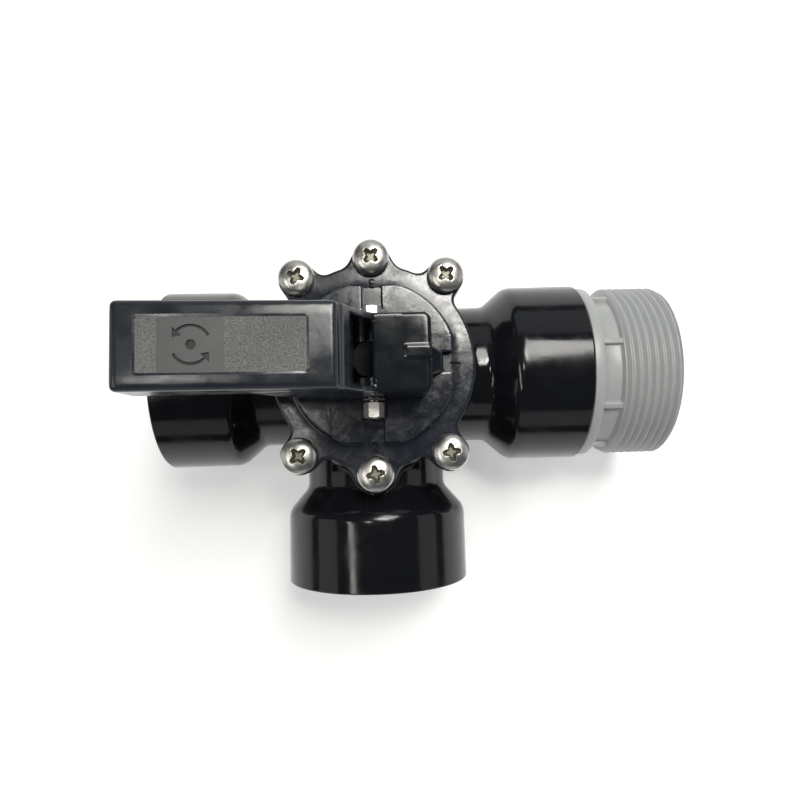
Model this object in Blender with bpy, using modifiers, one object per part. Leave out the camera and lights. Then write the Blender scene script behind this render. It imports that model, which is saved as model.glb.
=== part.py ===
"""Three way diverter valve for 2 inch pipe, with a press-to-turn handle and a threaded adapter.

Frame: origin at the centre of the flat foot under the chamber, +Z up the stem, +X towards the
threaded adapter, the branch port along -Y. The valve stands on its foot and its three hubs.
Lengths below are in millimetres, and mm() turns them into metres.
"""
import math

import bmesh
import bpy
from mathutils import Matrix, Vector

# Driving dimensions, millimetres.
FLOW_HEIGHT = 37.5            # the flow axis above the foot
HUB_RADIUS = 37.5             # hub at its mouth
HUB_DRAFT = 0.22              # how much slimmer the hub is at its shoulder
HUB_END = 86.0                # centre to hub mouth
HUB_SHOULDER = 56.8           # where the cone meets the hub
NECK_END = 47.3               # where the neck meets the cone
NECK_RADIUS = 29.0
MOUTH_CHAMFER = 0.6
FLOW_RADIUS = 24.0
WINDOW_RADIUS = 18.0          # each port narrows to a window in the chamber wall, with land between
FUNNEL_OUTER = 42.0           # where the narrowing starts and ends, from the stem's axis
FUNNEL_INNER = 36.0
SOCKET_RADIUS = 30.2          # 2 inch Schedule 40 pipe, 60.3 mm
SOCKET_BOTTOM = 57.4
CHAMBER_RADIUS = 36.0
FOOT_RADIUS = 31.0
FOOT_RISE = 6.0
FLOOR_TOP = 7.0
SEAT_LOW_RADIUS = 29.9        # the seat is a shallow cone, so lifting the rotor frees its seal
SEAT_HIGH_RADIUS = 31.0
SEAT_TOP = 63.3
COUNTERBORE_RADIUS = 31.2
JOURNAL_RADIUS = 5.0
JOURNAL_BOTTOM = 2.6
FLANGE_LOW = 62.0
FLANGE_TOP = 71.0
GAP = 0.3                     # between pieces that rest on or fit round each other
DISC_RADIUS = 39.0
EAR_RADIUS = 7.2
EAR_FILLET = 5.0
SCREW_PLACES = ((28.3, 33.6), (0.0, 41.0), (-28.3, 33.6), (-28.3, -33.6), (0.0, -41.0), (28.3, -33.6))
SCREW_HEAD_RADIUS = 6.9
SCREW_HEAD_HEIGHT = 4.7
SCREW_SHANK_RADIUS = 2.9
SCREW_LENGTH = 13.0
RIM_TOP = 77.0
PLATEAU_TOP = 81.5
PLATEAU_RADIUS = 31.3
PLATEAU_FLAT = 29.5
NOTCH_WIDTH = 7.6
NOTCH_INNER = 20.5
SPIGOT_RADIUS = 30.8
SPIGOT_BOTTOM = 66.8
PLATEAU_CHAMFER = 0.8
COVER_RING_HEIGHT = 68.9      # middle of the cover's O-ring
COVER_RING_RADIUS = 1.05
COVER_GROOVE = (2.6, 1.3)     # depth and half height of the groove for it
SLEEVE_RADIUS = 10.5
SLEEVE_BOTTOM = 68.0
SPRING_POCKET_RADIUS = 18.0
POCKET_CEILING = 77.5
STEM_RADIUS = 7.0
STEM_TOP = 94.9
STEM_FLAT = 6.0               # half thickness of the flattened stem end
STEM_FLAT_BASE = 82.2
STEM_RING_HEIGHTS = (71.5, 75.5)
STEM_RING_RADIUS = 0.85
STEM_GROOVE = (2.0, 1.15)
ROTOR_DISC_TOP = 62.8
ROTOR_DISC_LOW = 59.3
ROTOR_BASE_LOW = 7.4
ROTOR_BASE_TOP = 10.6
ROTOR_WALL_RADIUS = 26.4
ROTOR_WALL = 3.0
ROTOR_HALF_ANGLE = 47.0
SEAL_HALF_ANGLE = 42.0
SEAL_CLEARANCE = 0.35
SPRING_RADIUS = 13.6
SPRING_WIRE_RADIUS = 0.9
SPRING_TURNS = 5.0
DEAD_TURNS = 0.75             # closed part of a turn at each end of the spring
SPRING_WASHER = 1.0
PIN_HEIGHT = 88.4
PIN_RADIUS = 2.4
PIN_END = 20.8
PIN_HEAD_LENGTH = 4.1
PIN_HEAD_FLATS = 7.8
HANDLE_HALF_WIDTH = 13.4
CHEEK_THICKNESS = 2.4
GRIP_LEFT = -75.6
GRIP_RIGHT = -9.9
GRIP_TOP_LEFT = 134.0
GRIP_TOP_RIGHT = 129.0
GRIP_THICKNESS = 17.0
CAP_LEFT = 0.2
CAP_RIGHT = 19.3
CAP_TOP = 109.2
HANDLE_BOTTOM = 81.9
HANDLE_WALL = 2.8
HEEL = -15.0                  # corner on which the lever rocks when it is pressed
GRIP_KNEE = -38.0             # where the grip's underside turns down to the heel
NOSE_TIP = 26.0
NOSE_LOW = 82.2
NOSE_TOP = 90.0
NOSE_ROOT_HALF = 5.8
NOSE_TIP_HALF = 3.6
POINTER_LEFT = 9.7
POINTER_HALF = 2.1
POINTER_RISE = 0.7
BOSS_RADIUS = 5.4
HANDLE_EDGE = 1.6
PANEL_DEPTH = 0.5
PANEL_HALF = 8.6
PANEL_REACH = (-25.6, 24.2)   # along the grip, from its middle
ADAPTER_FLANGE_RADIUS = 36.4
ADAPTER_FLANGE_END = 90.5
ADAPTER_NECK_RADIUS = 32.2
ADAPTER_NECK_END = 98.3
ADAPTER_END = 121.5
ADAPTER_RIBS = 8
ADAPTER_RIB_TURN = 30.4        # degrees from the top to the first rib
THREAD_RADIUS = 36.07         # 2-1/2 inch straight pipe thread, 8 turns to the inch
THREAD_ROOT_RADIUS = 34.4
THREAD_PITCH = 3.175
THREAD_FIRST_CREST = 100.75
THREAD_CRESTS = 7

FINE = 48                     # steps round large turned pieces
COARSE = 32                   # steps round bores and small turned pieces

# One material each: colour, roughness, metallic.
BLACK_PLASTIC = ("black_plastic", (0.010, 0.011, 0.014), 0.22, 0.0)
SLATE_PLASTIC = ("slate_plastic", (0.022, 0.026, 0.034), 0.30, 0.0)
HANDLE_PLASTIC = ("handle_plastic", (0.014, 0.016, 0.020), 0.34, 0.0)
GREY_PLASTIC = ("grey_plastic", (0.36, 0.38, 0.38), 0.48, 0.0)
ROTOR_PLASTIC = ("rotor_plastic", (0.016, 0.016, 0.017), 0.38, 0.0)
STEEL = ("stainless_steel", (0.60, 0.59, 0.57), 0.28, 1.0)
SPRING_STEEL = ("spring_steel", (0.50, 0.50, 0.49), 0.32, 1.0)
RUBBER = ("ring_rubber", (0.015, 0.015, 0.015), 0.70, 0.0)
SEAL_RUBBER = ("seal_rubber", (0.035, 0.033, 0.032), 0.75, 0.0)


def mm(value):
    return value * 0.001


def clear_scene():
    for item in list(bpy.data.objects):
        bpy.data.objects.remove(item, do_unlink=True)


def new_collection(name):
    collection = bpy.data.collections.new(name)
    bpy.context.scene.collection.children.link(collection)
    return collection


def material(recipe):
    name, colour, roughness, metallic = recipe
    found = bpy.data.materials.get(name)
    if found:
        return found
    made = bpy.data.materials.new(name)
    made.use_nodes = True
    shader = made.node_tree.nodes["Principled BSDF"]
    shader.inputs["Base Color"].default_value = (*colour, 1.0)
    shader.inputs["Roughness"].default_value = roughness
    shader.inputs["Metallic"].default_value = metallic
    return made


def place(item, collection):
    """Link an object to one collection only; a cutter's collection also hides it from renders."""
    for old in list(item.users_collection):
        old.objects.unlink(item)
    collection.objects.link(item)
    item.hide_render = collection is TOOLS
    item.display_type = "WIRE" if collection is TOOLS else "TEXTURED"
    return item


def finish_piece(item, name, recipe):
    """Name a finished sub-part, give it its material and smooth shading, and file it with the parts."""
    item.name = name
    item.data.name = name
    item.data.materials.clear()
    item.data.materials.append(material(recipe))
    item.data.shade_smooth()
    item.data.set_sharp_from_angle(angle=math.radians(32))
    return place(item, PARTS)


def turned(name, profile, steps, axis="Z"):
    """A solid of revolution from (radius, height) points that run down the outer side."""
    mesh = bpy.data.meshes.new(name)
    points = [(mm(radius), 0.0, mm(height)) for radius, height in profile]
    closed = profile[0][0] > 0
    edges = [(index, index + 1) for index in range(len(points) - 1)]
    if closed:
        edges.append((len(points) - 1, 0))
    mesh.from_pydata(points, edges, [])
    item = bpy.data.objects.new(name, mesh)
    place(item, TOOLS)
    screw = item.modifiers.new("Turn", "SCREW")
    screw.axis = "Z"
    screw.steps = steps
    screw.render_steps = steps
    screw.use_merge_vertices = True
    screw.merge_threshold = 0.00001
    turns = {"Z": Matrix.Identity(4), "X": Matrix.Rotation(math.pi / 2, 4, "Y"),
             "-Y": Matrix.Rotation(math.pi / 2, 4, "X")}
    return baked(item, turns[axis])


def baked(item, matrix=None):
    """Replace an object's mesh by its evaluated one, moved by matrix, with no modifiers left."""
    bpy.context.view_layer.update()
    evaluated = item.evaluated_get(bpy.context.evaluated_depsgraph_get())
    mesh = bpy.data.meshes.new_from_object(evaluated)
    mesh.transform(item.matrix_world if matrix is None else matrix @ item.matrix_world)
    work = bmesh.new()
    work.from_mesh(mesh)
    bmesh.ops.remove_doubles(work, verts=work.verts, dist=0.000005)
    bmesh.ops.recalc_face_normals(work, faces=work.faces)
    work.to_mesh(mesh)
    work.free()
    made = bpy.data.objects.new(item.name, mesh)
    place(made, TOOLS)
    bpy.data.objects.remove(item, do_unlink=True)
    return made


def plate(name, loops, low, high):
    """A flat outline, with further loops as holes, extruded from height low to high."""
    curve = bpy.data.curves.new(name, "CURVE")
    curve.dimensions = "2D"
    curve.fill_mode = "BOTH"
    curve.extrude = mm(high - low) / 2
    for loop in loops:
        spline = curve.splines.new("POLY")
        spline.points.add(len(loop) - 1)
        spline.use_cyclic_u = True
        for point, (x, y) in zip(spline.points, loop):
            point.co = (mm(x), mm(y), 0.0, 1.0)
    item = bpy.data.objects.new(name, curve)
    place(item, TOOLS)
    return baked(item, Matrix.Translation((0.0, 0.0, mm(low + high) / 2)))


def side_plate(name, outline, half_width):
    """An outline in X and Z, extruded to both sides of the middle plane."""
    flat = plate(name, [outline], -half_width, half_width)
    flat.data.transform(Matrix.Rotation(math.pi / 2, 4, "X"))
    return flat


def box(name, low, high, matrix=None):
    mesh = bpy.data.meshes.new(name)
    work = bmesh.new()
    bmesh.ops.create_cube(work, size=1.0)
    size = [mm(top - bottom) for bottom, top in zip(low, high)]
    centre = [mm(top + bottom) / 2 for bottom, top in zip(low, high)]
    bmesh.ops.scale(work, vec=size, verts=work.verts)
    bmesh.ops.translate(work, vec=centre, verts=work.verts)
    work.to_mesh(mesh)
    work.free()
    if matrix is not None:
        mesh.transform(matrix)
    return place(bpy.data.objects.new(name, mesh), TOOLS)


def rod(name, radius, low, high, places, steps=COARSE, axis="Z"):
    """A cylinder along Z from low to high at a place in plan, or along Y at (x, z)."""
    mesh = bpy.data.meshes.new(name)
    work = bmesh.new()
    bmesh.ops.create_cone(work, cap_ends=True, segments=steps, radius1=mm(radius), radius2=mm(radius),
                          depth=mm(high - low))
    work.to_mesh(mesh)
    work.free()
    middle = mm(low + high) / 2
    if axis == "Z":
        mesh.transform(Matrix.Translation((mm(places[0]), mm(places[1]), middle)))
    else:
        mesh.transform(Matrix.Rotation(math.pi / 2, 4, "X"))
        mesh.transform(Matrix.Translation((mm(places[0]), middle, mm(places[1]))))
    return place(bpy.data.objects.new(name, mesh), TOOLS)


def combine(item, other, operation):
    modifier = item.modifiers.new(operation.title(), "BOOLEAN")
    modifier.operation = operation
    modifier.solver = "EXACT"
    modifier.object = other
    result = baked(item)
    bpy.data.objects.remove(other, do_unlink=True)
    return result


def join(item, *others):
    for other in others:
        item = combine(item, other, "UNION")
    return item


def cut(item, *others):
    for other in others:
        item = combine(item, other, "DIFFERENCE")
    return item


def ring(name, major, minor, height):
    """An O-ring round the stem's axis."""
    bpy.ops.mesh.primitive_torus_add(major_radius=mm(major), minor_radius=mm(minor), major_segments=28,
                                     minor_segments=8, location=(0.0, 0.0, mm(height)))
    item = bpy.context.object
    item.name = name
    return item


def on_circle(radius, degrees, centre=(0.0, 0.0)):
    angle = math.radians(degrees)
    return (centre[0] + radius * math.cos(angle), centre[1] + radius * math.sin(angle))


def circle(radius, steps, centre=(0.0, 0.0)):
    return [on_circle(radius, 360 * step / steps, centre) for step in range(steps)]


def arc(radius, start, end, steps, centre=(0.0, 0.0)):
    return [on_circle(radius, start + (end - start) * step / steps, centre) for step in range(steps + 1)]


def ear_reach(x, y):
    """The ear's bearing, and the angle either side of it at which its fillets leave the disc."""
    distance = math.hypot(x, y)
    to_fillet = DISC_RADIUS + EAR_FILLET
    ear_to_fillet = EAR_RADIUS + EAR_FILLET
    cosine = (to_fillet ** 2 + distance ** 2 - ear_to_fillet ** 2) / (2 * to_fillet * distance)
    return math.degrees(math.atan2(y, x)), math.degrees(math.acos(cosine))


def hollow_fillet(bearing, ear):
    """The hollow arc that leaves the disc at a bearing and ends on the ear."""
    centre = on_circle(DISC_RADIUS + EAR_FILLET, bearing)
    start = bearing + 180
    end = math.degrees(math.atan2(ear[1] - centre[1], ear[0] - centre[0]))
    turn = (end - start + 180) % 360 - 180
    return arc(EAR_FILLET, start, start + turn, 3, centre)


def eared_outline():
    """The disc with its six screw ears, each blended into the disc by two hollow fillets."""
    ears = sorted(SCREW_PLACES, key=lambda spot: math.atan2(spot[1], spot[0]))
    outline = []
    for ear, following in zip(ears, ears[1:] + ears[:1]):
        facing, swing = ear_reach(*ear)
        rise = hollow_fillet(facing - swing, ear)
        fall = hollow_fillet(facing + swing, ear)[::-1]
        start = math.degrees(math.atan2(rise[-1][1] - ear[1], rise[-1][0] - ear[0]))
        end = math.degrees(math.atan2(fall[0][1] - ear[1], fall[0][0] - ear[0]))
        next_facing, next_swing = ear_reach(*following)
        gap = (next_facing - next_swing - facing - swing) % 360
        outline += rise[:-1]
        outline += arc(EAR_RADIUS, start, start + (end - start) % 360, 8, ear)
        outline += fall[1:]
        outline += arc(DISC_RADIUS, facing + swing, facing + swing + gap, max(2, round(gap / 8)))[1:-1]
    return outline


def screw_holes(low, high, radius):
    return [rod("hole", radius, low, high, spot, steps=16) for spot in SCREW_PLACES]


def run_profile(bottom):
    """Outer shape of a pipe branch, from its mouth at HUB_END down to a given distance."""
    shoulder = HUB_RADIUS - HUB_DRAFT
    return [(0, HUB_END), (HUB_RADIUS - MOUTH_CHAMFER, HUB_END), (HUB_RADIUS, HUB_END - MOUTH_CHAMFER),
            (shoulder, HUB_SHOULDER), (NECK_RADIUS, NECK_END), (NECK_RADIUS, bottom)]


def bore_profile(bottom):
    """Inner shape of a pipe branch: the pipe socket, its stop, the flow bore and the window."""
    past_mouth = HUB_END + 4
    return [(0, past_mouth), (SOCKET_RADIUS, past_mouth), (SOCKET_RADIUS, SOCKET_BOTTOM),
            (FLOW_RADIUS, SOCKET_BOTTOM), (FLOW_RADIUS, FUNNEL_OUTER), (WINDOW_RADIUS, FUNNEL_INNER),
            (WINDOW_RADIUS, bottom)]


def both_ways(profile):
    """A branch profile followed by its mirror image, for the two ports in line."""
    return profile[:-1] + [(radius, -height) for radius, height in reversed(profile[:-1])]


def raised(item, height):
    item.data.transform(Matrix.Translation((0.0, 0.0, mm(height))))
    return item


def seat_radius(height):
    slope = (SEAT_HIGH_RADIUS - SEAT_LOW_RADIUS) / (SEAT_TOP - FLOOR_TOP)
    return SEAT_LOW_RADIUS + slope * (height - FLOOR_TOP)


def make_body():
    """Chamber, flange with screw bosses, three necks and three pipe hubs, in one moulding."""
    chamber = turned("chamber", [(0, FLANGE_TOP), (CHAMBER_RADIUS, FLANGE_TOP), (CHAMBER_RADIUS, FOOT_RISE),
                                 (FOOT_RADIUS, 0), (0, 0)], FINE)
    flange = plate("flange", [eared_outline(), circle(SEAT_HIGH_RADIUS - 2, COARSE)], FLANGE_LOW, FLANGE_TOP)
    in_line = raised(turned("in_line", both_ways(run_profile(0)), FINE, "X"), FLOW_HEIGHT)
    branch = raised(turned("branch", run_profile(5) + [(0, 5)], FINE, "-Y"), FLOW_HEIGHT)
    body = join(chamber, flange, in_line, branch)
    above = FLANGE_TOP + 5
    room = turned("room", [(0, above), (COUNTERBORE_RADIUS, above), (COUNTERBORE_RADIUS, SEAT_TOP),
                           (SEAT_HIGH_RADIUS, SEAT_TOP), (SEAT_LOW_RADIUS, FLOOR_TOP),
                           (JOURNAL_RADIUS + GAP, FLOOR_TOP), (JOURNAL_RADIUS + GAP, JOURNAL_BOTTOM - GAP),
                           (0, JOURNAL_BOTTOM - GAP)], FINE)
    in_line_bore = raised(turned("in_line_bore", both_ways(bore_profile(0)), COARSE, "X"), FLOW_HEIGHT)
    branch_bore = raised(turned("branch_bore", bore_profile(3) + [(0, 3)], COARSE, "-Y"), FLOW_HEIGHT)
    hole_bottom = RIM_TOP - SCREW_LENGTH
    holes = screw_holes(hole_bottom, FLANGE_TOP + 1, SCREW_SHANK_RADIUS + GAP)
    body = cut(body, room, in_line_bore, branch_bore, *holes)
    finish_piece(body, "valve_body", BLACK_PLASTIC)


def make_cover():
    """Cover plate with six ears, raised plateau with three notches, spigot and spring pocket."""
    underside = FLANGE_TOP + GAP
    depth, half = COVER_GROOVE
    edge = PLATEAU_CHAMFER
    groove_floor = SPIGOT_RADIUS - depth
    core = turned("core", [(0, PLATEAU_TOP), (PLATEAU_RADIUS - edge, PLATEAU_TOP),
                           (PLATEAU_RADIUS, PLATEAU_TOP - edge), (PLATEAU_RADIUS, RIM_TOP - 2),
                           (SPIGOT_RADIUS, RIM_TOP - 2), (SPIGOT_RADIUS, COVER_RING_HEIGHT + half),
                           (groove_floor, COVER_RING_HEIGHT + half), (groove_floor, COVER_RING_HEIGHT - half),
                           (SPIGOT_RADIUS, COVER_RING_HEIGHT - half), (SPIGOT_RADIUS, SPIGOT_BOTTOM),
                           (0, SPIGOT_BOTTOM)], FINE)
    tops = []
    for bearing in (0, 90, -90):
        turn = Matrix.Rotation(math.radians(bearing), 4, "Z")
        reach = PLATEAU_RADIUS + 3
        tops.append(box("flat", (PLATEAU_FLAT, -15, RIM_TOP), (reach, 15, PLATEAU_TOP + 1), turn))
        side = NOTCH_WIDTH / 2
        tops.append(box("notch", (NOTCH_INNER, -side, RIM_TOP), (reach, side, PLATEAU_TOP + 2), turn))
    core = cut(core, *tops)
    rim = plate("rim", [eared_outline(), circle(PLATEAU_RADIUS - 5, COARSE)], underside, RIM_TOP)
    cover = join(rim, core)
    pocket = turned("pocket", [(SPRING_POCKET_RADIUS, POCKET_CEILING),
                               (SPRING_POCKET_RADIUS, SPIGOT_BOTTOM - 1), (0, SPIGOT_BOTTOM - 1),
                               (0, SLEEVE_BOTTOM), (SLEEVE_RADIUS, SLEEVE_BOTTOM),
                               (SLEEVE_RADIUS, POCKET_CEILING)], COARSE)
    bore = rod("stem_bore", STEM_RADIUS + GAP, SPIGOT_BOTTOM, PLATEAU_TOP + 1, (0, 0))
    cover = cut(cover, pocket, bore, *screw_holes(underside - 1, RIM_TOP + 1, SCREW_SHANK_RADIUS + GAP))
    finish_piece(cover, "valve_cover", SLATE_PLASTIC)


def make_cover_screws():
    """Six pan head screws with cross recesses, all alike."""
    seat = RIM_TOP + GAP
    top = seat + SCREW_HEAD_HEIGHT
    radius = SCREW_HEAD_RADIUS
    screw = turned("screw", [(0, top), (0.5 * radius, top - 0.25), (0.83 * radius, top - 1.1),
                             (radius, top - 2.7), (radius, seat), (SCREW_SHANK_RADIUS, seat),
                             (SCREW_SHANK_RADIUS, seat - SCREW_LENGTH), (0, seat - SCREW_LENGTH)], 20)
    for bearing in (35, 125):
        turn = Matrix.Rotation(math.radians(bearing), 4, "Z")
        screw = cut(screw, box("slot", (-3.4, -0.75, top - 2.2), (3.4, 0.75, top + 1), turn))
    for number, (x, y) in enumerate(SCREW_PLACES, 1):
        copy = bpy.data.objects.new("cover_screw", screw.data)
        place(copy, TOOLS)
        finish_piece(copy, f"cover_screw_{number}", STEEL)
        copy.location = (mm(x), mm(y), 0.0)
    bpy.data.objects.remove(screw, do_unlink=True)


def make_rings():
    """The cover's static O-ring and the stem's two sliding O-rings."""
    cover_ring = ring("ring", SPIGOT_RADIUS - COVER_RING_RADIUS, COVER_RING_RADIUS, COVER_RING_HEIGHT)
    finish_piece(cover_ring, "cover_oring", RUBBER)
    for number, height in enumerate(STEM_RING_HEIGHTS, 1):
        stem_ring = ring("ring", STEM_RADIUS - STEM_RING_RADIUS, STEM_RING_RADIUS, height)
        finish_piece(stem_ring, f"stem_oring_{number}", RUBBER)


def sector(inner, outer, half_angle):
    """A plan outline of part of a ring, centred on +X."""
    return arc(outer, -half_angle, half_angle, 16) + arc(inner, half_angle, -half_angle, 16)


def make_rotor():
    """Two discs joined by a curved wall, with a journal below and the grooved stem above."""
    depth, half = STEM_GROOVE
    floor = STEM_RADIUS - depth
    upper = [(0, STEM_TOP), (STEM_RADIUS, STEM_TOP)]
    for height in reversed(STEM_RING_HEIGHTS):
        upper += [(STEM_RADIUS, height + half), (floor, height + half),
                  (floor, height - half), (STEM_RADIUS, height - half)]
    upper += [(STEM_RADIUS, ROTOR_DISC_TOP), (ROTOR_WALL_RADIUS - 0.2, ROTOR_DISC_TOP),
              (ROTOR_WALL_RADIUS - 0.2, ROTOR_DISC_LOW), (0, ROTOR_DISC_LOW)]
    top = turned("stem_and_disc", upper, COARSE)
    rim = SEAT_LOW_RADIUS - 1
    base = turned("journal_and_disc", [(0, ROTOR_BASE_TOP), (rim, ROTOR_BASE_TOP), (rim, ROTOR_BASE_LOW),
                                       (JOURNAL_RADIUS, ROTOR_BASE_LOW), (JOURNAL_RADIUS, JOURNAL_BOTTOM),
                                       (0, JOURNAL_BOTTOM)], COARSE)
    inner = ROTOR_WALL_RADIUS - ROTOR_WALL
    ledge = SEAL_HALF_ANGLE + 0.8
    bow = sector(inner, ROTOR_WALL_RADIUS, ROTOR_HALF_ANGLE)
    wall = plate("wall", [bow], ROTOR_BASE_TOP - 1, ROTOR_DISC_LOW + 1)
    rotor = join(top, base, wall)
    lip = sector(inner + 0.5, rim - GAP, (ROTOR_HALF_ANGLE - ledge) / 2)
    for side in (-1, 1):
        rib = plate("rib", [lip], ROTOR_BASE_TOP - 1.5, ROTOR_DISC_LOW)
        rib.data.transform(Matrix.Rotation(math.radians(side * (ledge + ROTOR_HALF_ANGLE) / 2), 4, "Z"))
        rotor = join(rotor, rib)
        low, high = sorted((side * STEM_FLAT, side * (STEM_RADIUS + 2)))
        rotor = cut(rotor, box("flat", (-9, low, STEM_FLAT_BASE), (9, high, STEM_TOP + 1)))
    pin_hole = rod("pin_hole", PIN_RADIUS + GAP, -9, 9, (0, PIN_HEIGHT), steps=16, axis="Y")
    rotor = cut(rotor, pin_hole)
    finish_piece(rotor, "diverter_rotor", ROTOR_PLASTIC)


def make_port_seal():
    """A curved rubber pad on the rotor's wall, ground to the seat's taper."""
    low = ROTOR_BASE_TOP + 1.0
    high = ROTOR_DISC_TOP - GAP
    inner = ROTOR_WALL_RADIUS + GAP + 0.1
    outer_high = seat_radius(high) - SEAL_CLEARANCE
    outer_low = seat_radius(low) - SEAL_CLEARANCE
    tube = turned("tube", [(outer_high, high), (outer_low, low), (inner, low), (inner, high)], FINE)
    wedge = plate("wedge", [[(0, 0)] + arc(50, -SEAL_HALF_ANGLE, SEAL_HALF_ANGLE, 6)], low - 5, high + 5)
    finish_piece(combine(tube, wedge, "INTERSECT"), "port_seal", SEAL_RUBBER)


def washer(name, inner, outer, low, high, recipe=STEEL):
    piece = turned("washer", [(outer, high), (outer, low), (inner, low), (inner, high)], COARSE)
    return finish_piece(piece, name, recipe)


def make_spring():
    """A coil round the cover's sleeve that pushes the rotor down into its seat."""
    low = ROTOR_DISC_TOP + GAP + SPRING_WASHER + GAP + SPRING_WIRE_RADIUS
    high = POCKET_CEILING - GAP - SPRING_WASHER - GAP - SPRING_WIRE_RADIUS
    closed_rise = 2.4 * SPRING_WIRE_RADIUS
    steps_a_turn = 14
    count = round(SPRING_TURNS * steps_a_turn)
    curve = bpy.data.curves.new("return_spring", "CURVE")
    curve.dimensions = "3D"
    curve.bevel_depth = mm(SPRING_WIRE_RADIUS)
    curve.bevel_resolution = 2
    curve.use_fill_caps = True
    spline = curve.splines.new("POLY")
    spline.points.add(count)
    for index, point in enumerate(spline.points):
        turns = index / steps_a_turn
        first = min(turns, DEAD_TURNS) / DEAD_TURNS
        last = max(0.0, turns - SPRING_TURNS + DEAD_TURNS) / DEAD_TURNS
        share = min(1.0, max(0.0, (turns - DEAD_TURNS) / (SPRING_TURNS - 2 * DEAD_TURNS)))
        x, y = on_circle(SPRING_RADIUS, 360 * turns)
        height = low + closed_rise * (first + last) + (high - low - 2 * closed_rise) * share
        point.co = (mm(x), mm(y), mm(height), 1.0)
    item = bpy.data.objects.new("return_spring", curve)
    place(item, TOOLS)
    finish_piece(baked(item), "return_spring", SPRING_STEEL)


def make_spring_washers():
    rim = SPRING_POCKET_RADIUS - 1.5
    low = ROTOR_DISC_TOP + GAP
    washer("lower_spring_washer", STEM_RADIUS + GAP, rim, low, low + SPRING_WASHER)
    high = POCKET_CEILING - GAP
    washer("upper_spring_washer", SLEEVE_RADIUS + GAP, rim, high - SPRING_WASHER, high)


def handle_outline():
    """Side view of the lever, from the grip's free end over the cap and back under the heel."""
    bottom_left = GRIP_TOP_LEFT - GRIP_THICKNESS
    fall = (GRIP_TOP_RIGHT - GRIP_TOP_LEFT) / (GRIP_RIGHT - GRIP_LEFT)
    return [(GRIP_LEFT, GRIP_TOP_LEFT), (GRIP_LEFT, bottom_left),
            (GRIP_KNEE, bottom_left + fall * (GRIP_KNEE - GRIP_LEFT)), (HEEL, HANDLE_BOTTOM),
            (CAP_RIGHT, HANDLE_BOTTOM), (CAP_RIGHT, CAP_TOP), (CAP_LEFT, CAP_TOP),
            (GRIP_RIGHT, GRIP_TOP_RIGHT)]


def handle_hollow():
    """Side view of the room between the cheeks: under the grip, the open pocket and under the cap."""
    below = HANDLE_BOTTOM - 20
    above = GRIP_TOP_LEFT + 6
    wall = HANDLE_WALL
    cap_ceiling = CAP_TOP - 3.4
    ramp_top = GRIP_RIGHT + 0.8
    ramp_foot = GRIP_RIGHT + 3.4
    ramp_end = PIN_HEIGHT + 9
    return [(GRIP_LEFT + wall, below), (CAP_RIGHT - wall, below), (CAP_RIGHT - wall, cap_ceiling),
            (CAP_LEFT, cap_ceiling), (CAP_LEFT, above), (ramp_top, above),
            (ramp_top, CAP_TOP + 17), (ramp_foot, CAP_TOP + 8), (ramp_foot, ramp_end),
            (ramp_foot - 3, ramp_end), (GRIP_RIGHT - wall, CAP_TOP + 15),
            (GRIP_LEFT + wall, GRIP_TOP_LEFT - 3.6)]


def make_nose():
    """Tapered tongue that drops into a notch of the cover."""
    root = (CAP_RIGHT - 1.0, NOSE_ROOT_HALF)
    side = [root, (CAP_RIGHT + 1, NOSE_ROOT_HALF), (NOSE_TIP, NOSE_TIP_HALF)]
    return plate("nose", [[(x, -y) for x, y in side] + side[::-1]], NOSE_LOW, NOSE_TOP)


def make_panel_cutter():
    """Box that sinks the shallow panel into the sloping top of the grip."""
    tilt = math.atan2(GRIP_TOP_LEFT - GRIP_TOP_RIGHT, GRIP_RIGHT - GRIP_LEFT)
    middle = ((GRIP_LEFT + GRIP_RIGHT) / 2, (GRIP_TOP_LEFT + GRIP_TOP_RIGHT) / 2)
    lean = Matrix.Translation((mm(middle[0]), 0, mm(middle[1]))) @ Matrix.Rotation(tilt, 4, "Y")
    return box("panel", (PANEL_REACH[0], -PANEL_HALF, -PANEL_DEPTH), (PANEL_REACH[1], PANEL_HALF, 2.0), lean)


def make_handle():
    """Lever with a hollow grip, two cheeks, a cap with a pointer rib, and a nose under the cap."""
    handle = side_plate("lever", handle_outline()[::-1], HANDLE_HALF_WIDTH)
    bevel = handle.modifiers.new("Edges", "BEVEL")
    bevel.width = mm(HANDLE_EDGE)
    bevel.segments = 2
    bevel.limit_method = "ANGLE"
    bevel.angle_limit = math.radians(50)
    inner = HANDLE_HALF_WIDTH - CHEEK_THICKNESS
    handle = cut(baked(handle), side_plate("hollow", handle_hollow(), inner), make_panel_cutter())
    for side in (-1, 1):
        low, high = sorted((side * (STEM_FLAT + 0.4), side * (inner + 1)))
        handle = join(handle, rod("boss", BOSS_RADIUS, low, high, (0, PIN_HEIGHT), steps=20, axis="Y"))
    reach = HANDLE_HALF_WIDTH + 3
    pin_hole = rod("pin_hole", PIN_RADIUS + GAP, -reach, reach, (0, PIN_HEIGHT), steps=16, axis="Y")
    handle = cut(handle, pin_hole)
    pointer_end = (CAP_RIGHT - 0.6, POINTER_HALF, CAP_TOP + POINTER_RISE)
    pointer = box("pointer", (POINTER_LEFT, -POINTER_HALF, CAP_TOP - 1), pointer_end)
    handle = join(handle, pointer, make_nose())
    finish_piece(handle, "handle", HANDLE_PLASTIC)
    set_origin(handle, (0.0, 0.0, mm(PIN_HEIGHT)))


def set_origin(item, point):
    item.data.transform(Matrix.Translation(-Vector(point)))
    item.location = point


def hexagon(flats):
    return circle(flats / math.sqrt(3), 6)


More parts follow.
